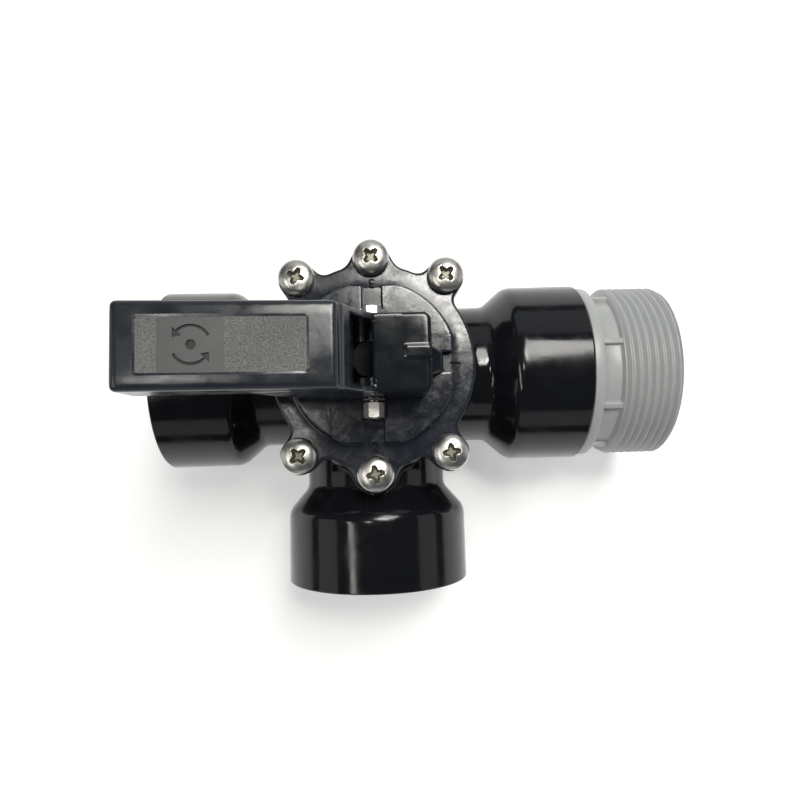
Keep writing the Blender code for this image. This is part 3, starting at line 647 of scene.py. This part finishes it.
GRIP_OUTLINE = grip_outline()
CHEEK_OUTLINE = cheek_outline()
LEVER_HOLLOW = lever_hollow()


def lever_distance(points):
    """Grip, cheeks with their cap, pointer and nose, less the hollow."""
    x, y, z = points.T
    wide = numpy.abs(y) - CHEEK_HALF
    crown = 0.012 * numpy.maximum(numpy.abs(y) - PANEL_HALF, 0) ** 2
    grip = meet(polygon_distance(GRIP_OUTLINE, x, z + crown), wide, 1.7)
    plan = meet(wide, x - CAP_RIGHT, 2.8)
    cheeks = meet(polygon_distance(CHEEK_OUTLINE, x, z), plan, 1.0)
    solid = merge(grip, cheeks, 0.4)
    hollow = meet(polygon_distance(LEVER_HOLLOW, x, z), wide + CHEEK_THICKNESS, 0.5)
    solid = numpy.maximum(solid, -hollow)
    pointer = meet(meet(numpy.abs(y) - 2.1, slab(x, 10.9, CAP_RIGHT - 0.3), 0.5),
                   slab(z, 100, POINTER_TOP), 0.3)
    solid = merge(solid, numpy.maximum(pointer, 107 - z), 0.3)
    half_nose = 5.8 - 2.2 * numpy.clip((x - CAP_RIGHT - 1) / 5.7, 0, 1)
    nose_fall = 0.9 * numpy.clip(x - CAP_RIGHT + 1, 0, 10)
    nose = meet(meet(numpy.abs(y) - half_nose, slab(x, CAP_RIGHT - 2, HANDLE_HIGH.x), 0.8),
                slab(z, NOSE_BOTTOM, NOSE_TOP - nose_fall), 0.7)
    return merge(solid, nose, 0.5)


def sloped_recess(low, high, bottom, top, slope):
    """A cutter with a rounded rectangular floor whose walls lean outwards at slope degrees from level."""
    spread = (top - bottom) / math.tan(math.radians(slope))
    rows = []
    for out, height in ((0, bottom), (spread, top)):
        outline = rounded_box_outline((low[0] - out, low[1] - out), (high[0] + out, high[1] + out), 0.9 + out)
        rows.append([(x, y, height) for x, y in outline])
    return loft(rows)


def turn_sign():
    """Cutters for the generic pictogram on the grip: press, then turn."""
    sweep = 62
    pieces = []
    for side in (0, 180):
        start, end = side + 90 - sweep, side + 90 + sweep - 16
        ring = arc(6.1, start, end, 18) + arc(5.2, end, start, 18)
        pieces.append(extrude(ring, -1, 1))
        tip = on_circle(5.65, end + 21)
        head = [tip, on_circle(7.5, end - 1), on_circle(3.8, end - 1)]
        pieces.append(extrude(head, -1, 1))
    pieces.append(cylinder(1.5, -1, 1, 32))
    return pieces


def make_lever(materials):
    lever = skin(lever_distance, HANDLE_LOW, HANDLE_HIGH, LEVER_CELL)
    tilt = math.atan2(GRIP_FALL, GRIP_RIGHT - GRIP_LEFT)
    middle = (GRIP_LEFT + GRIP_RIGHT) / 2
    lean = Matrix.Translation((middle, 0, grip_top(middle))) @ Matrix.Rotation(tilt, 4, "Y")
    panel = sloped_recess((PANEL_START, -PANEL_HALF + 0.4), (PANEL_END, PANEL_HALF - 0.4), -0.15, 0.6, 14)
    panel.transform(lean)
    band = extrude(rounded_box_outline((BAND_START, -8.1), (BAND_END, 8.1), 0.3), -0.27, 3, lean)
    pin = Matrix.Translation((0, 0, PIN_HEIGHT))
    hub = cylinder(2.7, -16, 16, 32, pin @ ALONG_MINUS_Y)
    bosses = [cylinder(5.4, 6.5, 12, 48, pin @ Matrix.Rotation(side * math.pi / 2, 4, "X"))
              for side in (-1, 1)]
    lever = joined(lever, *bosses, solver="MANIFOLD")
    lever = cut(lever, hub, panel, band, solver="MANIFOLD")
    sign_place = lean @ Matrix.Translation((-9.6, 0, 0.05))
    for piece in turn_sign():
        piece.transform(sign_place)
        lever = cut(lever, piece, solver="MANIFOLD")
    item = file_piece("lever_moulding", lever, materials, "lever", ["handle"], 24)
    back = lean.inverted()
    # Up-facing panel faces take the grain (1) and band (2) materials; the sunk sign's floor (3) takes a dark
    # one as painted shade.
    for face in item.data.polygons:
        spot = back @ (face.center * 1000)
        on_panel = abs(spot.y) < 8.25 and PANEL_START - 0.1 < spot.x < PANEL_END + 0.1
        if on_panel and -1.2 < spot.z < -0.14 and face.normal.z > 0.8:
            in_band = BAND_START - 0.05 < spot.x < BAND_END + 0.05 and spot.z < -0.24
            face.material_index = 1 + in_band + (in_band and spot.z < -0.5)
        # The cap and the nose (4) take a darker copy of the lever's moulding: painted shade.
        elif face.center.x * 1000 > CAP_LEFT - 0.2:
            face.material_index = 4


# -------- pivot
def chamfered_hexagon(flats, low, high, both_ends=False):
    """A hexagonal prism with turned chamfers at its outer end, or at both."""
    corner = flats / math.sqrt(3)
    prism = extrude(circle(corner, 6), low, high)
    drop = 0.55
    start = [(0, low), (corner - drop * 1.6, low), (corner + 0.1, low + drop)] if both_ends else [
        (0, low), (corner + 0.1, low)]
    turned = lathe(start + [(corner + 0.1, high - drop), (corner - drop * 1.9, high), (0, high)], 96)
    return combined(prism, turned, "INTERSECT")


def make_pivot(materials, dull):
    """Bolt, nut and washers through the cheeks."""
    reach = BOLT_HIGH.y
    inner = CHEEK_HALF + 1.5
    outwards = {side: Matrix.Rotation(-side * math.pi / 2, 4, "X") for side in (1, -1)}
    centre = Matrix.Translation((0, 0, PIN_HEIGHT))
    head = chamfered_hexagon(PIVOT_FLATS, inner, reach - 0.8)
    shaft = [(0, -reach + 0.6), (PIVOT_CREST - 0.4, -reach + 0.6), (PIVOT_CREST, -reach + 1.1)]
    for turn in range(8):
        start = -reach + 1.3 + 0.7 * turn
        shaft += [(PIVOT_CREST, start), (PIVOT_CREST, start + 0.2), (PIVOT_CREST - 0.25, start + 0.5)]
    shaft += [(PIVOT_RADIUS, -13), (PIVOT_RADIUS, inner + 1), (0, inner + 1)]
    bolt = joined(head, lathe(shaft, 40))
    bolt = soften(bolt, 0.12, 2, 40, lambda spot: spot.z > inner - 0.1)
    bolt.transform(centre @ outwards[1])
    file_piece("pivot_hex_bolt", bolt, materials, "rotor", ["pivot_bolt"], 30)
    nut = chamfered_hexagon(PIVOT_FLATS, inner, reach, both_ends=True)
    hole = PIVOT_CREST + 0.15
    nut = cut(nut, cylinder(hole, inner - 1, reach + 1, 40))
    nut = soften(nut, 0.12, 2, 40)
    nut.transform(centre @ outwards[-1])
    file_piece("pivot_hex_nut", nut, materials, "rotor", ["pivot_nut"], 30)
    for number, side in enumerate((1, -1), 1):
        low = CHEEK_HALF + 0.3
        ring = lathe([(2.75, low + 0.1), (2.85, low), (3.9, low), (4.0, low + 0.1), (4.0, low + 0.5),
                      (3.9, low + 0.6), (2.85, low + 0.6), (2.75, low + 0.5)], 64)
        ring.transform(centre @ outwards[side])
        file_piece(f"pivot_disc_{number}", ring, dull, "rotor",
                   [f"pivot_washer_{number}"], 30)


# -------- adapter
def thread_radius(reach, turn):
    """Radius of the male thread at a distance along the axis and a share of a turn round it."""
    phase = (reach - THREAD_FIRST) / THREAD_PITCH - turn
    off_crest = abs(phase - round(phase)) * THREAD_PITCH
    flank = min(1.0, max(0.0, (1.42 - off_crest) / 1.22))
    rise = (THREAD_RADIUS - THREAD_ROOT) * flank
    lead_in = ADAPTER_NECK_RADIUS + 0.6 + (reach - ADAPTER_NECK_END) * 2.4
    chamfer = 35.3 + (ADAPTER_HIGH.x - reach) * 0.85
    return min(THREAD_ROOT + rise, lead_in, chamfer)


def make_adapter(materials):
    """Spigot, shoulder ring, ribbed neck and a real helical thread on one turned grid."""
    start, end = SOCKET_BOTTOM + 0.3, ADAPTER_HIGH.x
    shoulder = HUB_END + 0.3
    ring = ADAPTER_RING_RADIUS
    fixed = [(24.9, end), (24.3, end - 0.25), (FLOW_RADIUS, end - 0.9), (FLOW_RADIUS, start + 0.8),
             (24.6, start), (29.0, start), (29.9, start + 1.0), (29.9, shoulder), (ring - 0.4, shoulder),
             (ring - 0.1, shoulder + 0.15), (ring, shoulder + 0.5), (ring, ADAPTER_RING_END - 0.6),
             (ring - 0.15, ADAPTER_RING_END - 0.2), (ring - 0.5, ADAPTER_RING_END),
             (ADAPTER_NECK_RADIUS + 1.0, ADAPTER_RING_END),
             (ADAPTER_NECK_RADIUS + 0.3, ADAPTER_RING_END + 0.3),
             (ADAPTER_NECK_RADIUS, ADAPTER_RING_END + 1.0), (ADAPTER_NECK_RADIUS, ADAPTER_NECK_END - 0.9),
             (ADAPTER_NECK_RADIUS + 0.2, ADAPTER_NECK_END - 0.2)]
    steps, samples, first = 192, 150, ADAPTER_NECK_END
    rows = [[(x, y, reach) for x, y in circle(radius, steps)] for radius, reach in fixed]
    for sample in range(samples):
        reach = first + (end - 0.35 - first) * sample / (samples - 1)
        rows.append([(*on_circle(thread_radius(reach, step / steps), 360 * step / steps), reach)
                     for step in range(steps)])
    rows.append([(x, y, end) for x, y in circle(35.0, steps)])
    adapter = from_grid(rows)
    for rib in range(ADAPTER_RIBS):
        bar = box((ADAPTER_NECK_RADIUS - 2, -1.2, ADAPTER_RING_END - 1),
                  (ADAPTER_NECK_RADIUS + 1.9, 1.2, ADAPTER_NECK_END + 0.7))
        bar = soften(bar, 0.45, 3, 35)
        bearing = 180 + ADAPTER_RIB_TURN + 360 * rib / ADAPTER_RIBS
        bar.transform(Matrix.Rotation(math.radians(bearing), 4, "Z"))
        adapter = joined(adapter, bar, solver="MANIFOLD")
    adapter.transform(AT_FLOW @ ALONG_X)
    file_piece("adapter_moulding", adapter, materials, "root", ["union_adapter"], 40)


# -------- spring
def make_spring(materials):
    """Wire swept along the coil, with closed ends."""
    wire = 0.9
    radius = (SPRING_HIGH.x - SPRING_LOW.x) / 2 - wire
    low, high = SPRING_LOW.z + wire, SPRING_HIGH.z - wire
    turns, closed, closed_rise, steps = 5.0, 0.75, 2.4 * wire, 64
    rows = []
    for index in range(round(turns * steps) + 1):
        turn = index / steps
        first = min(turn, closed) / closed
        last = max(0.0, turn - turns + closed) / closed
        share = min(1.0, max(0.0, (turn - closed) / (turns - 2 * closed)))
        height = low + closed_rise * (first + last) + (high - low - 2 * closed_rise) * share
        rows.append([(*on_circle(radius + out, 360 * turn), height + up) for out, up in circle(wire, 14)])
    ends = [[tuple(sum(axis) / 14 for axis in zip(*row))] for row in (rows[0], rows[-1])]
    spring = from_grid([ends[0]] + rows + [ends[1]], closed_rows=False)
    item = file_piece("coil_spring", spring, materials, "spring_seat", ["return_spring"], 50)
    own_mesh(item)


# -------- materials
class Nodes:
    """Short calls for building one material's nodes; lengths are millimetres on the object.

    The colour and roughness it starts with stand until colour() and rough() link something to them.
    """

    def __init__(self, name, colour, roughness, metallic=0.0):
        self.material = bpy.data.materials.new(name)
        self.material.use_nodes = True
        self.tree = self.material.node_tree
        self.shader = self.tree.nodes["Principled BSDF"]
        self.shader.inputs["Base Color"].default_value = (*colour, 1)
        self.shader.inputs["Roughness"].default_value = roughness
        self.shader.inputs["Metallic"].default_value = metallic
        self.place = self.add("ShaderNodeTexCoord").outputs["Object"]
        self.bumped = None

    def add(self, kind, **settings):
        node = self.tree.nodes.new(kind)
        for name, value in settings.items():
            setattr(node, name, value)
        return node

    def link(self, source, target):
        self.tree.links.new(source, target)

    def stretched(self, scale, turn=(0, 0, 0)):
        """Object coordinates turned, then scaled, for grain that runs one way."""
        turned = self.add("ShaderNodeMapping")
        turned.inputs["Rotation"].default_value = [math.radians(angle) for angle in turn]
        self.link(self.place, turned.inputs["Vector"])
        scaled = self.add("ShaderNodeMapping")
        scaled.inputs["Scale"].default_value = scale
        self.link(turned.outputs["Vector"], scaled.inputs["Vector"])
        return scaled.outputs["Vector"]

    def noise(self, size, detail=3.0, roughness=0.6, vector=None, distortion=0.0):
        """Noise whose features are about size millimetres."""
        node = self.add("ShaderNodeTexNoise")
        node.inputs["Scale"].default_value = 1000 / size
        node.inputs["Detail"].default_value = detail
        node.inputs["Roughness"].default_value = roughness
        node.inputs["Distortion"].default_value = distortion
        self.link(vector or self.place, node.inputs["Vector"])
        return node.outputs["Fac"]

    def voronoi(self, size):
        node = self.add("ShaderNodeTexVoronoi", feature="F1")
        node.inputs["Scale"].default_value = 1000 / size
        self.link(self.place, node.inputs["Vector"])
        return node.outputs["Distance"]

    def ranged(self, source, low, high, to_low, to_high, smooth=False):
        node = self.add("ShaderNodeMapRange")
        node.interpolation_type = "SMOOTHSTEP" if smooth else "LINEAR"
        for name, value in (("From Min", low), ("From Max", high), ("To Min", to_low), ("To Max", to_high)):
            node.inputs[name].default_value = value
        self.link(source, node.inputs["Value"])
        return node.outputs["Result"]

    def math(self, operation, first, second):
        node = self.add("ShaderNodeMath", operation=operation)
        for socket, value in zip(node.inputs, (first, second)):
            if isinstance(value, (int, float)):
                socket.default_value = value
            else:
                self.link(value, socket)
        return node.outputs[0]

    def axis(self, name):
        """One object coordinate in millimetres."""
        node = self.add("ShaderNodeSeparateXYZ")
        self.link(self.place, node.inputs[0])
        return self.math("MULTIPLY", node.outputs[name], 1000.0)

    def colour(self, share, first, second):
        node = self.add("ShaderNodeMix", data_type="RGBA")
        self.link(share, node.inputs["Factor"])
        node.inputs["A"].default_value = (*first, 1)
        node.inputs["B"].default_value = (*second, 1)
        self.link(node.outputs["Result"], self.shader.inputs["Base Color"])

    def rough(self, source):
        self.link(source, self.shader.inputs["Roughness"])

    def bump(self, source, height):
        """Adds relief of a height in millimetres over what is there already."""
        node = self.add("ShaderNodeBump")
        node.inputs["Strength"].default_value = 1.0
        node.inputs["Distance"].default_value = height / 1000
        self.link(source, node.inputs["Height"])
        if self.bumped is not None:
            self.link(self.bumped, node.inputs["Normal"])
        self.bumped = node.outputs["Normal"]
        self.link(self.bumped, self.shader.inputs["Normal"])

    def relief(self, height, *noise):
        self.bump(self.noise(*noise), height)


def scratches(nodes, turn, width):
    """Fine parallel rubs that come and go, as a share from 0 to 1."""
    lines = nodes.noise(1.0, 2.0, 0.5, nodes.stretched((0.04, 1 / width, 1.0), turn))
    where = nodes.noise(9.0, 2.0, 0.5)
    return nodes.math("MULTIPLY", nodes.ranged(lines, 0.62, 0.74, 0, 1),
                      nodes.ranged(where, 0.45, 0.62, 0, 1))


def black_plastic():
    """Glossy black moulding of the body: faint flow waviness, dust and a parting line."""
    nodes = Nodes("body_black_plastic", (0.006, 0.0065, 0.008), 0.16)
    smudge = nodes.noise(14.0, 4.0, 0.6)
    speck = nodes.noise(0.5, 2.0, 0.5)
    base = nodes.ranged(smudge, 0.35, 0.7, 0.09, 0.20, smooth=True)
    nodes.rough(nodes.math("ADD", base, nodes.ranged(speck, 0.62, 0.78, 0.0, 0.12)))
    nodes.colour(smudge, (0.0045, 0.0048, 0.0060), (0.0085, 0.0092, 0.0115))
    nodes.shader.inputs["Specular IOR Level"].default_value = 0.4
    nodes.relief(0.030, 5.0, 2.0, 0.4)
    nodes.relief(0.0025, 0.6)
    off_line = nodes.math("ABSOLUTE", nodes.math("SUBTRACT", nodes.axis("Z"), FLOW_HEIGHT), 0.0)
    nodes.bump(nodes.ranged(off_line, 0.15, 0.45, 1, 0, smooth=True), 0.06)
    return nodes.material


def slate_plastic():
    """Cover: blue-black semi-gloss, cloudy with rubs from handling and fine scratches."""
    nodes = Nodes("cover_slate_plastic", (0.020, 0.024, 0.034), 0.3)
    cloud = nodes.noise(7.0, 5.0, 0.65, distortion=0.6)
    fine = nodes.noise(0.7)
    rubs = nodes.math("ADD", scratches(nodes, (0, 0, 24), 0.10), scratches(nodes, (0, 0, -52), 0.12))
    nodes.colour(cloud, (0.009, 0.011, 0.018), (0.024, 0.028, 0.039))
    base = nodes.ranged(cloud, 0.32, 0.72, 0.12, 0.28, smooth=True)
    grain = nodes.math("ADD", base, nodes.ranged(fine, 0.4, 0.8, -0.02, 0.05))
    nodes.rough(nodes.math("ADD", grain, nodes.ranged(rubs, 0, 1, 0, 0.12)))
    nodes.relief(0.22, 16.0, 1.0, 0.5)
    nodes.relief(0.035, 3.2, 2.0, 0.5)
    nodes.bump(fine, 0.004)
    nodes.bump(rubs, 0.004)
    return nodes.material


def handle_plastic():
    """Lever: smooth blue-black gloss with faint waviness and small rubs."""
    nodes = Nodes("lever_gloss_plastic", (0.012, 0.015, 0.021), 0.2)
    cloud = nodes.noise(9.0, 4.0, 0.6)
    fine = nodes.noise(0.6)
    rubs = scratches(nodes, (0, 0, 8), 0.12)
    nodes.colour(cloud, (0.013, 0.016, 0.022), (0.026, 0.030, 0.038))
    base = nodes.ranged(cloud, 0.32, 0.72, 0.15, 0.27, smooth=True)
    nodes.rough(nodes.math("ADD", base, nodes.ranged(rubs, 0, 1, 0, 0.14)))
    nodes.relief(0.16, 14.0, 1.0, 0.5)
    nodes.relief(0.028, 4.0, 2.0, 0.4)
    nodes.bump(fine, 0.002)
    return nodes.material


def clouded(name, start, cloud, first, second, rough, *reliefs, metallic=0.0, specular=0.5,
            span=(0.3, 0.7), smooth=False):
    """A material whose colour and roughness drift together over one noise, under several reliefs."""
    nodes = Nodes(name, *start, metallic)
    nodes.shader.inputs["Specular IOR Level"].default_value = specular
    drift = nodes.noise(*cloud)
    nodes.colour(drift, first, second)
    nodes.rough(nodes.ranged(drift, *span, *rough, smooth=smooth))
    for relief in reliefs:
        nodes.relief(*relief)
    return nodes


def cap_shade_plastic():
    """Cap and nose of the lever: the same moulding, smoother, and blacker as painted shade."""
    return clouded("lever_cap_shaded_plastic", ((0.007, 0.008, 0.011), 0.24), (9.0, 4.0), (0.006, 0.008, 0.011),
                   (0.012, 0.015, 0.019), (0.09, 0.15), (0.06, 14.0, 1.0, 0.5), (0.028, 4.0, 2.0, 0.4),
                   (0.002, 0.6), specular=0.3, span=(0.32, 0.72), smooth=True).material


def grained_plastic():
    """Spark-eroded grain in the grip's panel, greyer because it scatters."""
    nodes = Nodes("grip_grain_plastic", (0.03, 0.03, 0.032), 0.5)
    grain = nodes.noise(0.42, 3.0, 0.7)
    pits = nodes.voronoi(0.6)
    nodes.colour(nodes.ranged(grain, 0.34, 0.68, 0, 1), (0.055, 0.055, 0.056), (0.21, 0.205, 0.20))
    nodes.rough(nodes.ranged(grain, 0.3, 0.7, 0.62, 0.40))
    nodes.bump(grain, 0.11)
    nodes.bump(nodes.ranged(pits, 0.1, 0.6, 0, 1), 0.05)
    return nodes.material


def band_plastic():
    """Smoother band of the panel, under the turn sign."""
    return clouded("grip_band_plastic", ((0.03, 0.031, 0.033), 0.36), (5.0, 4.0), (0.055, 0.058, 0.060),
                   (0.095, 0.098, 0.098), (0.30, 0.44), (0.02, 2.4, 2.0, 0.5), (0.012, 0.45)).material


def sign_shade_plastic():
    """Floor of the sunk turn sign, darkened as painted shade."""
    return clouded("sign_painted_shade_plastic", ((0.006, 0.006, 0.007), 0.5), (0.8, 4.0), (0.008, 0.008, 0.009),
                   (0.020, 0.020, 0.021), (0.42, 0.6), (0.015, 0.4)).material


def grey_plastic():
    """Adapter: light grey semi-matte moulding with slight mottling."""
    return clouded("adapter_grey_plastic", ((0.36, 0.37, 0.365), 0.42), (8.0, 4.0), (0.405, 0.420, 0.420),
                   (0.475, 0.490, 0.490), (0.30, 0.44), (0.02, 3.0, 2.0, 0.5), (0.006, 0.35)).material


def steel(name, colour, low, high, turned=False):
    """Stainless: roughness in patches, fine tool marks."""
    darker = tuple(value * 0.82 for value in colour)
    nodes = clouded(name, (colour, (low + high) / 2), (2.5, 4.0), darker, colour, (low, high),
                    (0.004, 0.22), (0.012, 1.6, 2.0, 0.4), metallic=1.0)
    if turned:
        nodes.relief(0.003, 0.16, 2.0, 0.5, nodes.stretched((0.1, 1.0, 1.0), (0, 0, 35)))
    return nodes.material


def recess_steel():
    """Floor and walls of the cross recess: duller, darker and browner than the head."""
    return clouded("recess_dull_steel", ((0.16, 0.15, 0.125), 0.5), (0.9, 4.0, 0.65), (0.12, 0.11, 0.085),
                   (0.36, 0.34, 0.28), (0.35, 0.6), (0.02, 0.3), metallic=0.75).material


def rubber(name, colour):
    first, second = (tuple(value * share for value in colour) for share in (0.75, 1.3))
    return clouded(name, (colour, 0.7), (2.0, 4.0), first, second, (0.62, 0.8), (0.008, 0.3)).material


def rotor_and_shade_plastic():
    """Dull black moulding of the rotor and its stem, made darker still as painted shade where the stem shows
    in the lever's pocket; on the floors of the numerals it is painted shade.
    """
    return clouded("rotor_black_and_shade_plastic", ((0.004, 0.004, 0.005), 0.6), (6.0, 4.0), (0.002, 0.002, 0.003),
                   (0.006, 0.006, 0.007), (0.52, 0.68), (0.006, 0.6), specular=0.15).material


# -------- stage
def make_floor():
    work = bmesh.new()
    half_side = 3.0
    bmesh.ops.create_grid(work, x_segments=1, y_segments=1, size=half_side)
    mesh = bpy.data.meshes.new("floor")
    work.to_mesh(mesh)
    work.free()
    nodes = Nodes("pale_floor", (0.86, 0.86, 0.86), 0.85)
    nodes.shader.inputs["Specular IOR Level"].default_value = 0.1
    nodes.shader.inputs["Emission Color"].default_value = (1, 1, 1, 1)
    nodes.shader.inputs["Emission Strength"].default_value = 0.4
    nodes.colour(nodes.noise(300.0, 2.0, 0.4), (0.85, 0.85, 0.85), (0.87, 0.87, 0.87))
    mesh.materials.append(nodes.material)
    new_object("floor", mesh)


def softbox(name, place, size, radiance, colour=(1, 1, 1)):
    """A rectangular light that faces the valve and is equally bright all over."""
    target = Vector((0.01, 0.0, 0.06))
    light = bpy.data.lights.new(name, "AREA")
    light.shape = "RECTANGLE"
    light.size, light.size_y = size
    light.energy = math.pi * size[0] * size[1] * radiance
    light.color = colour
    item = new_object(name, light)
    item.location = place
    item.rotation_euler = (target - Vector(place)).to_track_quat("-Z", "Y").to_euler()


def make_lights():
    softbox("ceiling_lamp", (0.12, 0.42, 1.40), (0.26, 0.17), 28.0, (1.0, 0.98, 0.91))
    softbox("side_lamp", (0.265, 0.31, 1.40), (0.17, 0.13), 25.0, (1.0, 0.98, 0.91))
    softbox("far_lamp", (0.38, 0.66, 1.40), (0.50, 0.48), 13.0, (1.0, 0.99, 0.95))
    softbox("small_lamp", (-0.26, 0.05, 1.40), (0.14, 0.10), 22.0, (1.0, 0.98, 0.91))
    softbox("left_lamp", (-0.85, -0.30, 1.40), (0.9, 0.16), 7.0, (1.0, 0.98, 0.93))
    softbox("back_wall", (0.1, 1.7, 0.9), (2.2, 1.2), 0.5, (0.95, 0.97, 1.0))
    softbox("left_wall", (-1.9, -0.2, 0.9), (1.4, 1.0), 0.7)
    softbox("right_wall", (1.9, 0.1, 0.9), (1.4, 1.0), 0.6)
    softbox("front_wall", (0.0, -1.9, 0.8), (1.6, 0.8), 0.5)
    world = bpy.data.worlds.new("studio")
    world.use_nodes = True
    background = world.node_tree.nodes["Background"]
    background.inputs["Color"].default_value = (0.84, 0.91, 1.0, 1)
    background.inputs["Strength"].default_value = 0.07
    bpy.context.scene.world = world


def make_camera():
    """Nearly straight down, a little from the branch's side; turns are radians, lengths metres."""
    camera = bpy.data.cameras.new("camera")
    camera.sensor_width = 36.0
    camera.lens = 28.716
    camera.clip_start = 0.01
    item = new_object("camera", camera)
    roll, sideways, back = 0.02412403, 0.032961, -0.0742758
    aside, down, away = 0.011369172, -0.010300136, 0.280799005
    to_camera = (Matrix.Rotation(roll, 4, "Z") @ Matrix.Rotation(sideways, 4, "Y") @
                 Matrix.Rotation(back, 4, "X"))
    offset = to_camera.inverted() @ Vector((aside, down, away))
    item.matrix_world = Matrix.Translation(offset + Vector((0, 0, FLOW_HEIGHT / 1000))) @ to_camera.inverted()
    bpy.context.scene.camera = item


def refinish(node, material):
    """Gives a CAD piece that is shown as it is a new material."""
    for index in range(len(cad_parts[node].data.materials)):
        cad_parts[node].data.materials[index] = material


def build():
    bright = steel("bright_stainless", (0.70, 0.68, 0.64), 0.25, 0.38, turned=True)
    make_body([black_plastic()])
    make_cover([slate_plastic(), rotor_and_shade_plastic()])
    for name in SCREWS:
        make_screw(name, [bright, recess_steel()])
    make_lever([handle_plastic(), grained_plastic(), band_plastic(), sign_shade_plastic(), cap_shade_plastic()])
    make_pivot([bright], [steel("pivot_dull_steel", (0.20, 0.20, 0.19), 0.42, 0.58)])
    make_adapter([grey_plastic()])
    make_spring([steel("drawn_spring_wire", (0.52, 0.52, 0.51), 0.24, 0.36)])
    for node in ("cover_oring", "stem_oring_1", "stem_oring_2"):
        refinish(node, rubber("ring_black_rubber", (0.015, 0.015, 0.015)))
    refinish("port_seal", rubber("seal_black_rubber", (0.030, 0.029, 0.028)))
    # The rotor's near-black also stands in for the shade inside the lever's pocket, where its stem shows.
    refinish("diverter_rotor", rotor_and_shade_plastic())
    for node in ("upper_spring_washer", "lower_spring_washer"):
        refinish(node, bright)


build()
make_floor()
make_lights()
make_camera()
bpy.context.scene.view_settings.view_transform = "Standard"
